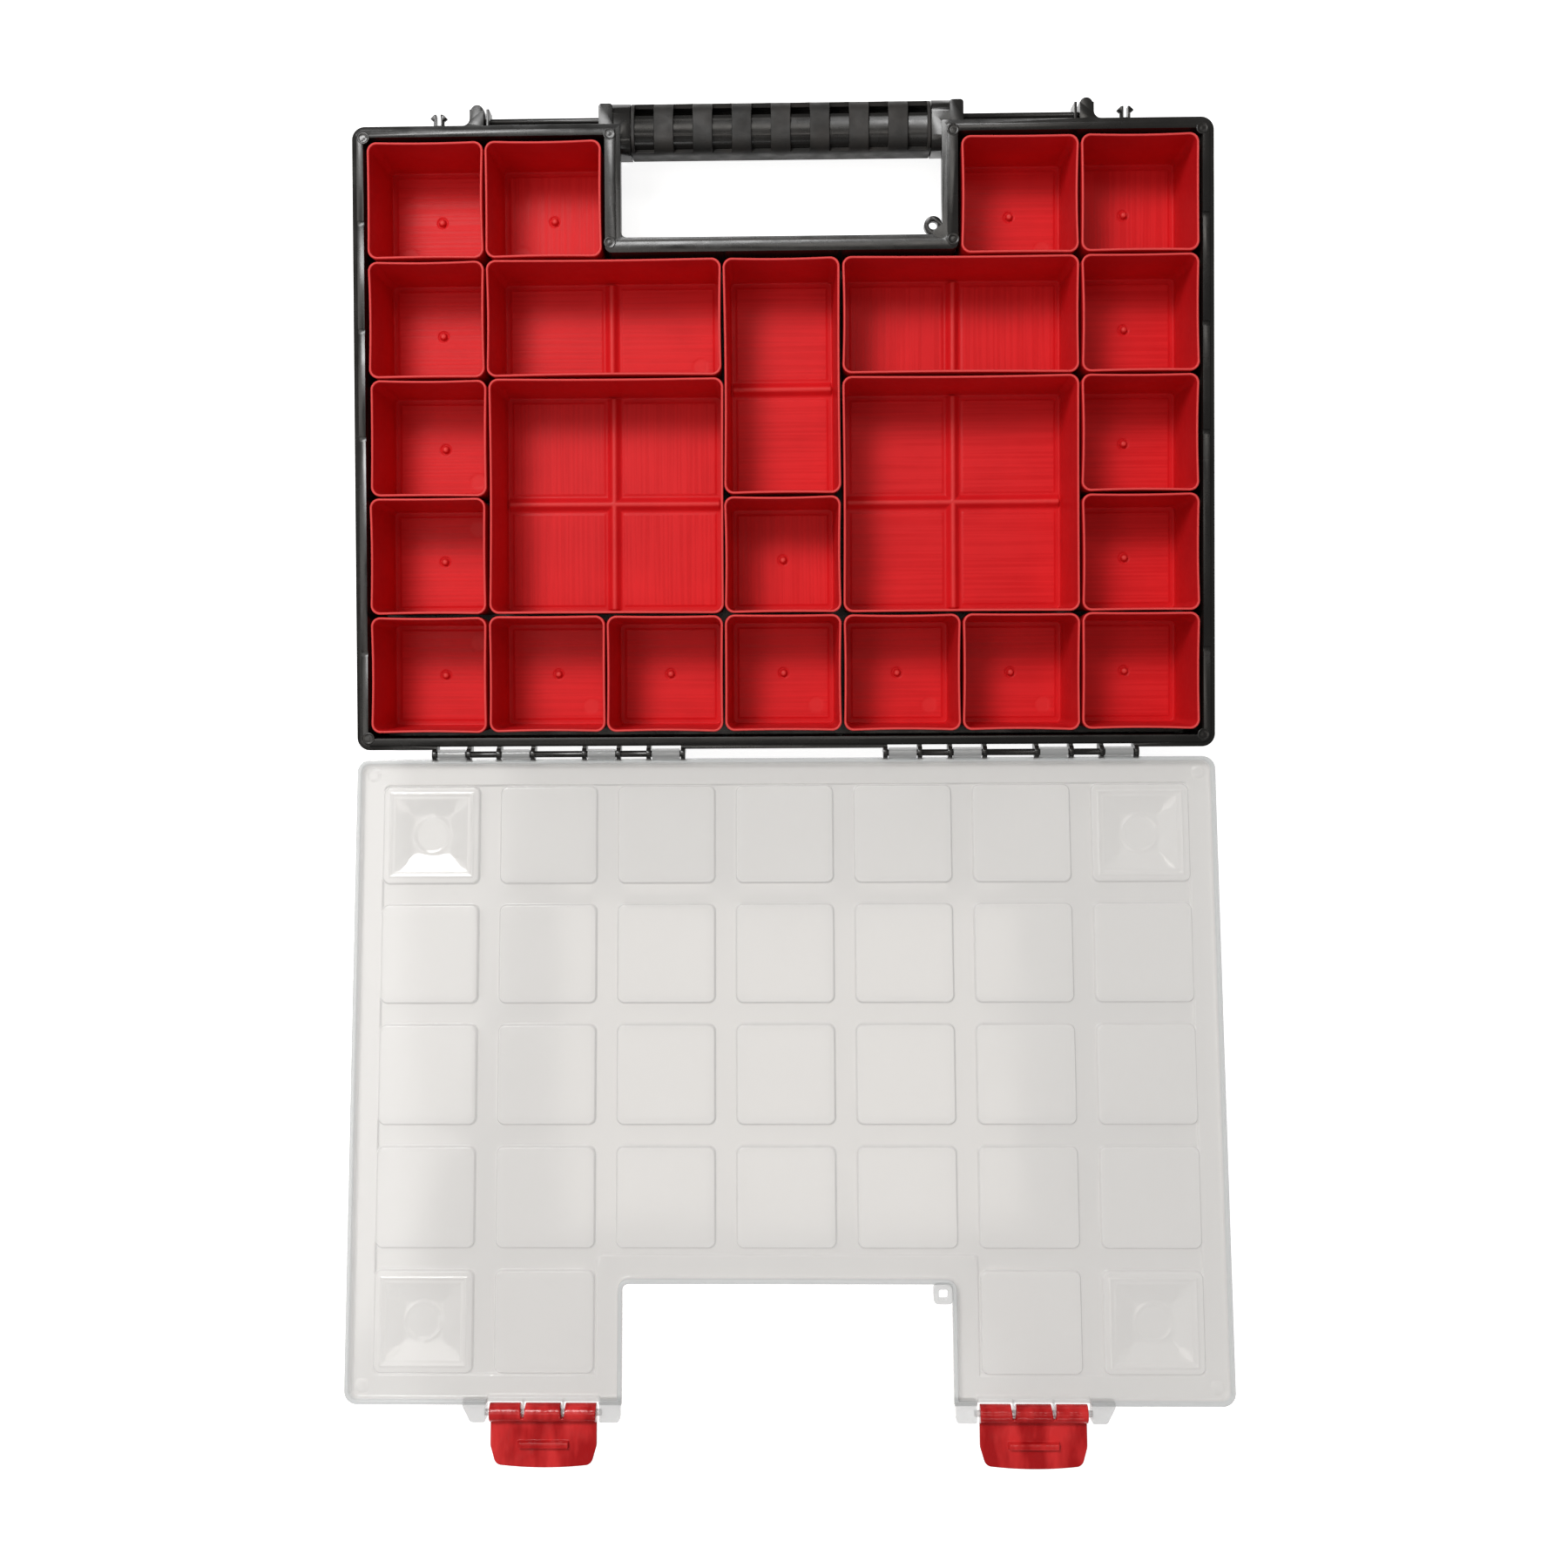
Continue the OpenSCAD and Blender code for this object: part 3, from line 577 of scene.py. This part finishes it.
    def fittings(self):
        """Hinge clips, latch ears with their rods and ribs, and the lock eye."""
        for bay in HINGE_BAYS:
            middle, half = sum(bay) / 2, 6.5 * MM
            centre = HINGE.yz
            clip = arc(centre, 2.7 * MM, -156, 156, 26) + arc(centre, 1.56 * MM, 135, -135, 20)
            web = [(HINGE.y + 2.2 * MM, RIM_Z + 0.9 * MM), (HINGE.y + 3.4 * MM, RIM_Z + 0.9 * MM),
                   (HINGE.y + 3.4 * MM, RIM_Z + 2.7 * MM), (HINGE.y + 1.2 * MM, RIM_Z + 2.7 * MM)]
            for outline in (clip, web):
                part = prism(outline, middle - half, middle + half)
                yield part
                yield mirrored(part)
        back, front = RIM_Y - SKIRT, LID_EAR_Y
        near, far = LATCH_X - LATCH_BAY, LATCH_X + LATCH_BAY
        r, wide = 2 * MM, 9.5 * MM
        inner = [(near - wide, back), (near, back)] + arc((near - 1 * MM, front - 1 * MM), 1 * MM, 0, 90, 4)
        inner += arc((near - wide + r, front - r), r, 90, 180, 6)
        outer = [(far, back), (far + 10.5 * MM, back), (far + 10.5 * MM, RIM_Y + 0.5 * MM)]
        outer += arc((far + 5.6 * MM, front - r), r, 15, 90, 5)
        outer += arc((far + 1 * MM, front - 1 * MM), 1 * MM, 90, 180, 4)
        for outline in (inner, outer):
            part = prism(outline, RIM_Z, RIM_Z + 6.5 * MM, "z")
            yield part
            yield mirrored(part)
        rod = prism(arc((LATCH_Y, LATCH_Z), ROD_R, 0, 345, 23), near - MM, far + MM)
        yield rod
        yield mirrored(rod)
        for x in (-9 * MM, 9 * MM):
            rib = [(RIM_Y - SKIRT, LATCH_Z - ROD_R), (LATCH_Y, LATCH_Z - ROD_R), (LATCH_Y, LATCH_Z + ROD_R)]
            rib.append((RIM_Y - SKIRT, LATCH_Z + ROD_R))
            part = prism(rib, LATCH_X + x - 0.4 * MM, LATCH_X + x + 0.4 * MM)
            yield part
            yield mirrored(part)
        yield self.lock_eye()

    def lock_eye(self):
        """A ring with a rounded-square outside in the right-hand corner of the cut-out."""
        centre = (HOLE_X - 4.2 * MM, HOLE_Y + 4.2 * MM)
        points, faces, n = [], [], 32
        for k in range(n):
            turn = 2 * math.pi * k / n
            c, s = math.cos(turn), math.sin(turn)
            for radius, power in ((2 * MM, 6), (4.4 * MM, 5)):
                reach = radius / (abs(c) ** power + abs(s) ** power) ** (1 / power)
                for z in (RIM_Z, RIM_Z + 4 * MM):
                    points.append((centre[0] + reach * c, centre[1] + reach * s, z))
            a, b = 4 * k, 4 * ((k + 1) % n)
            faces += [[a + p, a + q, b + q, b + p] for p, q in ((0, 1), (1, 3), (3, 2), (2, 0))]
        return points, faces


Lid().build()


# ---------------------------------------------------------------- latches


class Latch:
    """A latch level with the closed lid: its axis along X through the origin, the inside face below."""

    HALF = 24 * MM
    KNUCKLE = 4.1 * MM
    PLATE = 1.5 * MM
    END = 24.5 * MM
    TAPER_FROM, TAPER, SAG = 15 * MM, 2.4 * MM, 1.6 * MM
    CORNER, EDGE = 2.6 * MM, 0.4 * MM
    RIDGE_Y, RIDGE_HALF, RIDGE_L, RIDGE_H = 14.3 * MM, 1.7 * MM, 11.6 * MM, 2.4 * MM
    SLOT, SLOT_HALF, SLOT_END = 9 * MM, 0.65 * MM, 1.9 * MM

    def warp(self, x, y):
        for s in (-1, 1):
            cx, cy = s * (self.HALF - self.CORNER), self.END - self.CORNER
            if (x - cx) * s > 0 and y > cy:
                x, y = square_to_round(x, y, cx, cy, self.CORNER)
                break
        for s in (-1, 1):
            off = x - s * self.SLOT
            if y < self.SLOT_END and abs(off) < 2.5 * MM:
                open_up = 0.55 * MM * (self.SLOT_END - y) / (self.SLOT_END + self.KNUCKLE)
                fade = 1 - smooth(abs(off), self.SLOT_HALF, 2.4 * MM)
                x += math.copysign(open_up * fade, off)
        along = max(0.0, (y - self.TAPER_FROM) / (self.END - self.TAPER_FROM))
        x *= 1 - self.TAPER / self.HALF * along
        return x, y - self.SAG * along * (x / self.HALF) ** 2

    def low(self, x, y):
        barrel = -math.sqrt(max(0.0, self.KNUCKLE**2 - y**2))
        z = barrel + (self.PLATE - barrel) * smooth(y, 3.93 * MM, 4.15 * MM)
        along = 1 - smooth(abs(x), self.RIDGE_L - 0.5 * MM, self.RIDGE_L)
        across = 1 - smooth(abs(y - self.RIDGE_Y), self.RIDGE_HALF - 0.5 * MM, self.RIDGE_HALF + 0.1 * MM)
        return z - self.RIDGE_H * along * across

    def high(self, x, y):
        return math.sqrt(max(0.0, self.KNUCKLE**2 - min(y, 0) ** 2))

    def point(self, level, x, y):
        z = self.high(x, y) if level else self.low(x, y)
        edge = min(self.HALF - abs(x), self.END - y)
        if y < self.SLOT_END + self.EDGE:
            beside = [abs(x - s * self.SLOT) - self.SLOT_HALF for s in (-1, 1)]
            edge = min(edge, *(max(off, y - self.SLOT_END) for off in beside))
        room = (self.high(x, y) - self.low(x, y)) / 2
        fall = min(rounded_edge(max(edge, 0), self.EDGE), room)
        return (*self.warp(x, y), z - fall if level else z + fall)

    def build(self, side):
        soft = (0, 0.06, 0.2, 0.4)
        across = [(s * self.HALF, [-s * o for o in soft + (1.0, 1.8, 2.6)]) for s in (-1, 1)]
        for s in (-1, 1):
            across.append((s * self.RIDGE_L, (-0.6, -0.45, -0.3, -0.15, 0, 0.2)))
            for t in (-1, 1):
                across.append((s * self.SLOT + t * self.SLOT_HALF, [t * o for o in soft + (1, 1.8)]))
        bend = [-self.KNUCKLE * math.cos(math.radians(a)) / MM for a in range(0, 160, 8)]
        along = [(0, bend + [3.93, 3.98, 4.04, 4.1, 4.16, 4.4])]
        along.append((self.SLOT_END, soft))
        flank = (-0.6, -0.45, -0.3, -0.15, 0, 0.12, 0.3)
        for t in (-1, 1):
            along.append((self.RIDGE_Y + t * self.RIDGE_HALF, [t * o for o in flank]))
        along.append((self.END, [-o for o in soft + (1.0, 1.8, 2.6)]))
        xs, ys = spread(across, 2.5 * MM, 0.03 * MM), spread(along, 2 * MM, 0.008 * MM)

        def keep(x, y):
            return y > self.SLOT_END or all(abs(x - s * self.SLOT) > self.SLOT_HALF for s in (-1, 1))

        name = "latch_left" if side < 0 else "latch_right"
        place = AT_REST @ Matrix.Translation((side * LATCH_X, LATCH_Y, LATCH_Z))
        shell = grid_solid(xs, ys, keep, self.point)
        new_piece(name + "_body", *shell, LATCH, name, "latch_red", [name], place)


for side in (-1, 1):
    Latch().build(side)


# ---------------------------------------------------------------- grip


class Grip:
    """The windowed cover on the handle bar: a rounded section, open underneath, drawn out along X."""

    OUTER, INNER = (11.85 * MM, 10.85 * MM, 7 * MM), (10.35 * MM, 9.35 * MM, 8 * MM)
    SLOT = 4.5 * MM
    SILL = 6.5 * MM
    WINDOW = 9 * MM
    WINDOWS = 8
    END = 1.6 * MM

    def __init__(self):
        low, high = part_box("handle_grip")
        self.half = (high.x - low.x) / 2
        self.centre = (low + high) / 2
        pitch = (2 * self.half - 2 * self.END - self.WINDOW) / (self.WINDOWS - 1)
        self.windows = [(k - (self.WINDOWS - 1) / 2) * pitch for k in range(self.WINDOWS)]

    def section(self, level, turn):
        """A point of the section: turn runs from 0 under the front, over the top, to 1 under the rear."""
        w, h, r = self.OUTER if level else self.INNER
        angle = math.radians(-90 + 360 * turn)
        c, s = math.cos(angle), math.sin(angle)
        reach = min(w / max(abs(c), 1e-9), h / max(abs(s), 1e-9))
        y, z = reach * c, reach * s
        a, b = w - r, h - r
        if abs(y) > a and abs(z) > b:
            # the ray from the middle meets the round corner
            along = abs(c) * a + abs(s) * b
            reach = along + math.sqrt(max(0.0, along**2 - a * a - b * b + r * r))
            y, z = reach * c, reach * s
        return y, z

    def turn_at(self, test):
        """The first turn at which test(y, z) holds on the outer section."""
        return next(k / 2000 for k in range(2001) if test(*self.section(1, k / 2000)))

    def build(self):
        start = self.turn_at(lambda y, z: y > self.SLOT)
        front = self.turn_at(lambda y, z: z > self.SILL)
        rear = 1 - front
        turns = []
        for a, b in ((start, front), (front, rear), (rear, 1 - start)):
            steps = max(2, round((b - a) * 72))
            turns += [a + (b - a) * i / steps for i in range(steps)]
        turns.append(1 - start)
        edges = [x + s * self.WINDOW / 2 for x in self.windows for s in (-1, 1)]
        xs = spread([(0, [e / MM for e in edges + [-self.half, self.half]])], 4 * MM)

        def keep(x, turn):
            return not (front < turn < rear and any(abs(x - w) < self.WINDOW / 2 for w in self.windows))

        def point(level, x, turn):
            y, z = self.section(level, turn)
            return self.centre.x + x, self.centre.y + y, self.centre.z + z

        shell = grid_solid(xs, turns, keep, point)
        grip = new_piece("handle_grip_body", *shell, GRIP, "tray", "grip_black", ["handle_grip"])
        add_bevel(grip, 0.35 * MM, 3)


Grip().build()


# ---------------------------------------------------------------- ejector marks on the tray's rim


def ejector_mark(x, y, top, radius=2.8 * MM):
    """A shallow round boss with a dished face."""
    section = [(radius, -1.2), (radius, -0.12), (radius - 0.12 * MM, 0), (radius - 0.5 * MM, 0)]
    section += [(radius - 0.8 * MM, -0.1), (radius * 0.45, -0.14), (radius * 0.15, -0.02)]
    points, faces, n = [], [], 40
    for k in range(n):
        c, s = math.cos(2 * math.pi * k / n), math.sin(2 * math.pi * k / n)
        points += [(x + r * c, y + r * s, top + z * MM) for r, z in section]
    m = len(section)
    for k in range(n):
        a, b = m * k, m * ((k + 1) % n)
        faces += [[a + i, a + i + 1, b + i + 1, b + i] for i in range(m - 1)]
    faces += [[m * k + m - 1 for k in range(n)], [m * k for k in range(n)]]
    return points, faces


MARK_TOP = RIM_Z + 1.62 * MM
HOLE_MARKS = (HOLE_X + 5 * MM, (HOLE_Y - 2.6 * MM, RIM_Y - 5 * MM))
CORNER_MARK = (RIM_X - 5.6 * MM, RIM_Y - 5.6 * MM)
spots = [(sx * HOLE_MARKS[0], y) for sx in (-1, 1) for y in HOLE_MARKS[1]]
spots += [(sx * CORNER_MARK[0], sy * CORNER_MARK[1]) for sx in (-1, 1) for sy in (-1, 1)]
ejector_marks = together(*(ejector_mark(x, y, MARK_TOP) for x, y in spots))
new_piece("ejector_marks", *ejector_marks, TRAY, "tray", "tray_black")


# ---------------------------------------------------------------- bins


def grid_lines(half, features, coarse):
    """Sorted places from -half to half: close together at the walls and at each (place, reach, step)."""
    places = {-half, half}
    for depth in (0.5, 1.0, 1.5, 2.0, 2.4, 2.8, 3.2, 3.8, 4.6):
        places |= {-half + depth * MM, half - depth * MM}
    for place, reach, step in features:
        count = round(reach / step)
        near = [place + i * step for i in range(-count, count + 1)]
        places |= {p for p in near if abs(p) < half - 5 * MM}
    kept = []
    for p in sorted(places):
        if not kept or p - kept[-1] > 0.25 * MM:
            kept.append(p)
    lines = []
    for a, b in zip(kept, kept[1:]):
        steps = max(1, math.ceil((b - a) / coarse))
        lines += [a + (b - a) * i / steps for i in range(steps)]
    return lines + [half]


def round_corner(x, y, half_x, half_y, radius):
    """Carries a point of a square-cornered rectangle into the round-cornered one."""
    a = (abs(x) - half_x + radius) / radius
    b = (abs(y) - half_y + radius) / radius
    if a <= 0 or b <= 0:
        return x, y
    turned = a * math.sqrt(1 - min(b, 1) ** 2 / 2), b * math.sqrt(1 - min(a, 1) ** 2 / 2)
    return (
        math.copysign(half_x - radius + turned[0] * radius, x),
        math.copysign(half_y - radius + turned[1] * radius, y),
    )


class Bin:
    """One moulded bin, modelled about the middle of its floor."""

    WALL = 1.15 * MM
    FLOOR = 1.4 * MM
    PLAY = 0.05 * MM
    RIM_RADIUS = 4.6 * MM
    DRAFT = 1.3 * MM
    BOW = 0.1, 0.6  # least and most that a side bows in, in mm
    TURN, SLACK = 0.28, 0.15 * MM  # degrees and distance off its cell
    RIDGE = 2.8 * MM
    PAD_EDGE = 2.3 * MM
    MARK = 4.0 * MM

    def __init__(self, node, cells_x, cells_y):
        low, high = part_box(node)
        self.node = node
        self.cells = cells_x, cells_y
        self.centre = Vector(((low.x + high.x) / 2, (low.y + high.y) / 2, low.z))
        self.height = high.z - low.z
        self.half = (high.x - low.x) / 2 - self.PLAY, (high.y - low.y) / 2 - self.PLAY
        self.cell = (high.x - low.x) / cells_x
        self.bow = [rng.uniform(*self.BOW) * MM for _ in range(4)]
        self.floor_half = [h - self.WALL - self.DRAFT for h in self.half]
        corner = rng.choice([(1, -1), (-1, -1), (1, 1), (1, -1)])
        reach = self.MARK + 4.5 * MM
        self.mark = [corner[k] * (self.floor_half[k] - reach) for k in (0, 1)]
        self.has_mark = rng.random() < 0.6
        self.lines_along_x = rng.random() < 0.75

    def ridge_places(self, k):
        return [self.cell * (i - self.cells[k] / 2) for i in range(1, self.cells[k])]

    def floor_height(self, x, y):
        """Height over the floor: the shallow pads, the ridges between cells, and the gate's dome."""
        inset = min(self.floor_half[0] - abs(x), self.floor_half[1] - abs(y))
        pad = smooth(inset, self.PAD_EDGE - 0.4 * MM, self.PAD_EDGE + 0.2 * MM)
        ridge = 0.0
        for k, at in ((0, x), (1, y)):
            for place in self.ridge_places(k):
                off = abs(at - place)
                pad *= smooth(off, 4.4 * MM, 5.0 * MM)
                ridge = max(ridge, self.RIDGE * (1 - smooth(off, 0.3 * MM, 3.7 * MM)))
        height = 0.28 * MM * pad + ridge
        if self.cells == (1, 1):
            r = math.hypot(x, y)
            height += 1.8 * MM * math.sqrt(max(0.0, 1 - (r / (1.9 * MM)) ** 2))
            height -= 0.5 * MM * (1 - smooth(abs(r - 2.2 * MM), 0, 0.7 * MM))
        if self.has_mark:
            height -= 0.12 * MM * (1 - smooth(self.mark_distance(x, y), self.MARK - 0.3 * MM, self.MARK))
        return height

    def mark_distance(self, x, y):
        return math.hypot(x - self.mark[0], y - self.mark[1])

    def wall_section(self):
        """(inset from the lip's outside, height) up the outside, over the lip and down the inside."""
        h, wall, draft = self.height, self.WALL, self.DRAFT
        out = [(draft + 1.0 * MM, 0.0), (draft + 0.35 * MM, 0.2 * MM), (draft, 0.9 * MM)]
        out += [(draft * (1 - t), h * t) for t in (0.2, 0.4, 0.6, 0.8, 0.95)]
        for i in range(7):
            turn = math.pi * i / 6
            out.append((wall / 2 * (1 - math.cos(turn)), h - wall / 2 + wall / 2 * math.sin(turn)))
        out += [(wall + draft * (1 - t), h * t) for t in (0.95, 0.8, 0.6, 0.4, 0.2, 0.1)]
        fillet = 1.1 * MM
        for i in range(1, 5):
            turn = math.pi / 2 * i / 4
            out.append(
                (wall + draft + fillet * (1 - math.cos(turn)) * 0.55,
                 self.FLOOR + fillet * (1 - math.sin(turn)))
            )
        return out

    def build(self):
        features = [[(p, 5.6 * MM, 0.5 * MM) for p in self.ridge_places(k)] for k in (0, 1)]
        for k in (0, 1):
            if self.cells == (1, 1):
                features[k].append((0.0, 3.5 * MM, 0.35 * MM))
            if self.has_mark:
                features[k].append((self.mark[k], 5.0 * MM, 0.7 * MM))
        xs, ys = (grid_lines(self.floor_half[k], features[k], 3.0 * MM) for k in (0, 1))
        hx, hy = self.floor_half
        nx, ny = len(xs), len(ys)
        mesh = bmesh.new()
        layers = {n: mesh.verts.layers.float.new(n) for n in ("floor", "rim", "mark")}

        def add(x, y, z, **values):
            v = mesh.verts.new((x, y, z))
            for key, value in values.items():
                v[layers[key]] = value
            return v

        edge = [(i, 0) for i in range(nx - 1)] + [(nx - 1, j) for j in range(ny - 1)]
        edge += [(i, ny - 1) for i in range(nx - 1, 0, -1)] + [(0, j) for j in range(ny - 1, 0, -1)]

        def sheet(reach, corner, height, values):
            """A grid of vertices over the floor, stretched to reach, with round corners."""
            rows = []
            for x in xs:
                row = []
                for y in ys:
                    px, py = round_corner(x * reach[0] / hx, y * reach[1] / hy, *reach, corner)
                    row.append(add(px, py, height(x, y), **values(x, y)))
                rows.append(row)
            return rows

        section = self.wall_section()
        rings = []
        for inset, z in section:
            half = [h - inset for h in self.half]
            corner = max(self.RIM_RADIUS - inset * 0.85, 1.2 * MM)
            ring = []
            for i, j in edge:
                u, v = xs[i] / hx, ys[j] / hy
                x, y = round_corner(u * half[0], v * half[1], *half, corner)
                lift = z / self.height
                sides = ((j == 0, 0), (i == nx - 1, 1), (j == ny - 1, 2), (i == 0, 3))
                for on_side, s in sides:
                    if on_side:
                        along = u if s in (0, 2) else v
                        shift = self.bow[s] * (1 - along * along) ** 1.3 * lift
                        x += (0, -shift, 0, shift)[s]
                        y += (shift, 0, -shift, 0)[s]
                # painted highlight: paler red along the lip's crest
                top = smooth(z, self.height - 0.45 * MM, self.height - 0.1 * MM)
                ring.append(add(x, y, z, rim=top))
            rings.append(ring)
        last = section[-1][0]
        inner = [h - last for h in self.half]
        corner_in = max(self.RIM_RADIUS - last * 0.85, 1.2 * MM)

        def floor_values(x, y):
            inset = min(hx - abs(x), hy - abs(y))
            flat = smooth(inset, self.PAD_EDGE, self.PAD_EDGE + 0.6 * MM)
            for k, at in ((0, x), (1, y)):
                for place in self.ridge_places(k):
                    flat *= smooth(abs(at - place), 4.8 * MM, 5.2 * MM)
            near = 0
            if self.has_mark:
                near = 1 - smooth(self.mark_distance(x, y), self.MARK - 0.4 * MM, self.MARK)
            off = [abs((x, y)[k] - place) for k in (0, 1) for place in self.ridge_places(k)]
            # painted highlight along the crests of the floor ridges
            crest_highlight = 0.5 * (1 - smooth(min(off), 0.3 * MM, 1.4 * MM)) if off else 0.0
            if self.cells == (1, 1):
                # painted highlight on the gate's dome
                crest_highlight = 0.9 * (1 - smooth(math.hypot(x, y), 0.6 * MM, 1.5 * MM))
                flat *= smooth(math.hypot(x, y), 2.9 * MM, 3.2 * MM)
            return {"floor": flat * (1 - 0.8 * near), "mark": near, "rim": crest_highlight}

        floor = sheet(inner, corner_in, lambda x, y: self.FLOOR + self.floor_height(x, y), floor_values)
        first = section[0][0]
        outer = [h - first for h in self.half]
        base = sheet(outer, max(self.RIM_RADIUS - first * 0.85, 1.2 * MM), lambda x, y: 0.0, lambda x, y: {})
        for i, j in edge:
            mesh.verts.remove(base[i][j])
            mesh.verts.remove(floor[i][j])
        for k, (i, j) in enumerate(edge):
            base[i][j] = rings[0][k]
            floor[i][j] = rings[-1][k]
        count = len(edge)
        for low, high in zip(rings, rings[1:]):
            for k in range(count):
                n = (k + 1) % count
                mesh.faces.new((low[k], low[n], high[n], high[k]))
        for i in range(nx - 1):
            for j in range(ny - 1):
                mesh.faces.new((floor[i][j], floor[i + 1][j], floor[i + 1][j + 1], floor[i][j + 1]))
                mesh.faces.new((base[i][j], base[i][j + 1], base[i + 1][j + 1], base[i + 1][j]))
        self.place(mesh)

    def place(self, mesh):
        """Sets the bin down loosely in its cell: a little turned and shifted, as it is dropped in."""
        turn = Matrix.Rotation(math.radians(rng.uniform(-self.TURN, self.TURN)), 4, "Z")
        along_x = rng.uniform(-self.SLACK, self.SLACK) + SHOVED.get(self.node, 0)
        along_y = rng.uniform(-self.SLACK, self.SLACK)
        move = Matrix.Translation(self.centre + Vector((along_x, along_y, 0)))
        mesh.transform(move @ turn)
        data = bpy.data.meshes.new(self.node + "_body")
        mesh.to_mesh(data)
        mesh.free()
        obj = bpy.data.objects.new(self.node + "_body", data)
        bpy.context.scene.collection.objects.link(obj)
        finish_with(obj, BINS[self.lines_along_x])
        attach(obj, self.node)
        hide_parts(self.node)


# how far two of the bins stand off their cells, along X
SHOVED = {"small_bin_r3_c1": 0.8 * MM, "square_bin_left": 0.7 * MM}
CELLS = {"wide": (2, 1), "long": (1, 2), "square": (2, 2)}
for node in sorted(frame["nodes"]):
    if "_bin" in node:
        Bin(node, *CELLS.get(node.split("_")[0], (1, 1))).build()


# ---------------------------------------------------------------- camera, light and floor

CAMERA_PLACE = (0.0007, -0.1116, 0.8204)
CAMERA_LEAN = (-0.0148, 0.0202, -0.0058)
CAMERA_LENS = 38.4
VIEW_SHIFT = (0.0208, -0.0529)

camera = bpy.data.objects.new("camera", bpy.data.cameras.new("camera"))
bpy.context.scene.collection.objects.link(camera)
camera.location = CAMERA_PLACE
camera.rotation_euler = CAMERA_LEAN
camera.data.sensor_width = 36
camera.data.lens = CAMERA_LENS
camera.data.shift_x, camera.data.shift_y = VIEW_SHIFT
bpy.context.scene.camera = camera


def softbox(name, place, target, size, radiance, shape="RECTANGLE", tint=(1, 1, 1)):
    """An area lamp that looks as bright as radiance from anywhere in front of it."""
    lamp = bpy.data.lights.new(name, "AREA")
    lamp.shape = shape
    lamp.size, lamp.size_y = size
    area = size[0] * size[1] * (math.pi / 4 if shape == "ELLIPSE" else 1)
    lamp.energy = radiance * math.pi * area
    lamp.color = tint
    obj = bpy.data.objects.new(name, lamp)
    bpy.context.scene.collection.objects.link(obj)
    obj.location = place
    obj.rotation_euler = (Vector(target) - Vector(place)).to_track_quat("-Z", "Y").to_euler()


softbox("key", (-0.64, 0.88, 1.74), (0, -0.02, 0), (0.7, 0.5), 18.5)
softbox("left", (-0.7, 0.05, 1.5), (-0.7, 0.05, 0), (0.66, 1.5), 2.0, "ELLIPSE", (1, 0.97, 0.93))
softbox("front", (0.13, 0.56, 1.5), (0.13, 0.56, 0), (0.48, 0.36), 4.0, "ELLIPSE", (1, 0.96, 0.9))
softbox("rear", (0.2, -1.45, 1.35), (0, 0.1, 0.03), (0.5, 0.3), 2.2)
softbox("ceiling", (0, -0.25, 1.9), (0, -0.25, 0), (0.7, 0.5), 1.8, "RECTANGLE", (1, 0.93, 0.86))


def pale(name, colour, camera_strength):
    """A pale surface that the camera sees nearly white, with the object's shadow kept on it."""
    material = bpy.data.materials.new(name)
    material.use_nodes = True
    tree = material.node_tree
    tree.nodes.clear()
    out = tree.nodes.new("ShaderNodeOutputMaterial")
    diffuse = tree.nodes.new("ShaderNodeBsdfDiffuse")
    diffuse.inputs["Color"].default_value = (*colour, 1)
    glow = tree.nodes.new("ShaderNodeEmission")
    path = tree.nodes.new("ShaderNodeLightPath")
    seen = path.outputs["Is Camera Ray"]
    for ray in ("Is Glossy Ray", "Is Transmission Ray"):
        either = tree.nodes.new("ShaderNodeMath")
        either.operation = "MAXIMUM"
        tree.links.new(seen, either.inputs[0])
        tree.links.new(path.outputs[ray], either.inputs[1])
        seen = either.outputs[0]
    scale = tree.nodes.new("ShaderNodeMath")
    scale.operation = "MULTIPLY"
    scale.inputs[1].default_value = camera_strength
    tree.links.new(seen, scale.inputs[0])
    tree.links.new(scale.outputs[0], glow.inputs["Strength"])
    both = tree.nodes.new("ShaderNodeAddShader")
    tree.links.new(diffuse.outputs[0], both.inputs[0])
    tree.links.new(glow.outputs[0], both.inputs[1])
    tree.links.new(both.outputs[0], out.inputs["Surface"])
    return material


floor_mesh = bpy.data.meshes.new("floor")
floor_mesh.from_pydata([(-6, -6, 0), (6, -6, 0), (6, 6, 0), (-6, 6, 0)], [], [(0, 1, 2, 3)])
floor = bpy.data.objects.new("floor", floor_mesh)
bpy.context.scene.collection.objects.link(floor)
floor.data.materials.append(pale("floor", (0.8, 0.8, 0.8), 0.85))

world = bpy.data.worlds.new("world")
bpy.context.scene.world = world
world.use_nodes = True
sky = world.node_tree
sky.nodes["Background"].inputs["Color"].default_value = (1, 1, 1, 1)
path = sky.nodes.new("ShaderNodeLightPath")


def sky_strength(ray, value, otherwise):
    """value for rays of one kind, otherwise for the rest."""
    pick = sky.nodes.new("ShaderNodeMix")
    sky.links.new(path.outputs[ray], pick.inputs["Factor"])
    pick.inputs["B"].default_value = value
    if isinstance(otherwise, float):
        pick.inputs["A"].default_value = otherwise
    else:
        sky.links.new(otherwise, pick.inputs["A"])
    return pick.outputs["Result"]


strength = sky_strength("Is Camera Ray", 1.0, sky_strength("Is Glossy Ray", 0.12, 0.20))
sky.links.new(strength, sky.nodes["Background"].inputs["Strength"])

bpy.context.scene.view_settings.view_transform = "Standard"
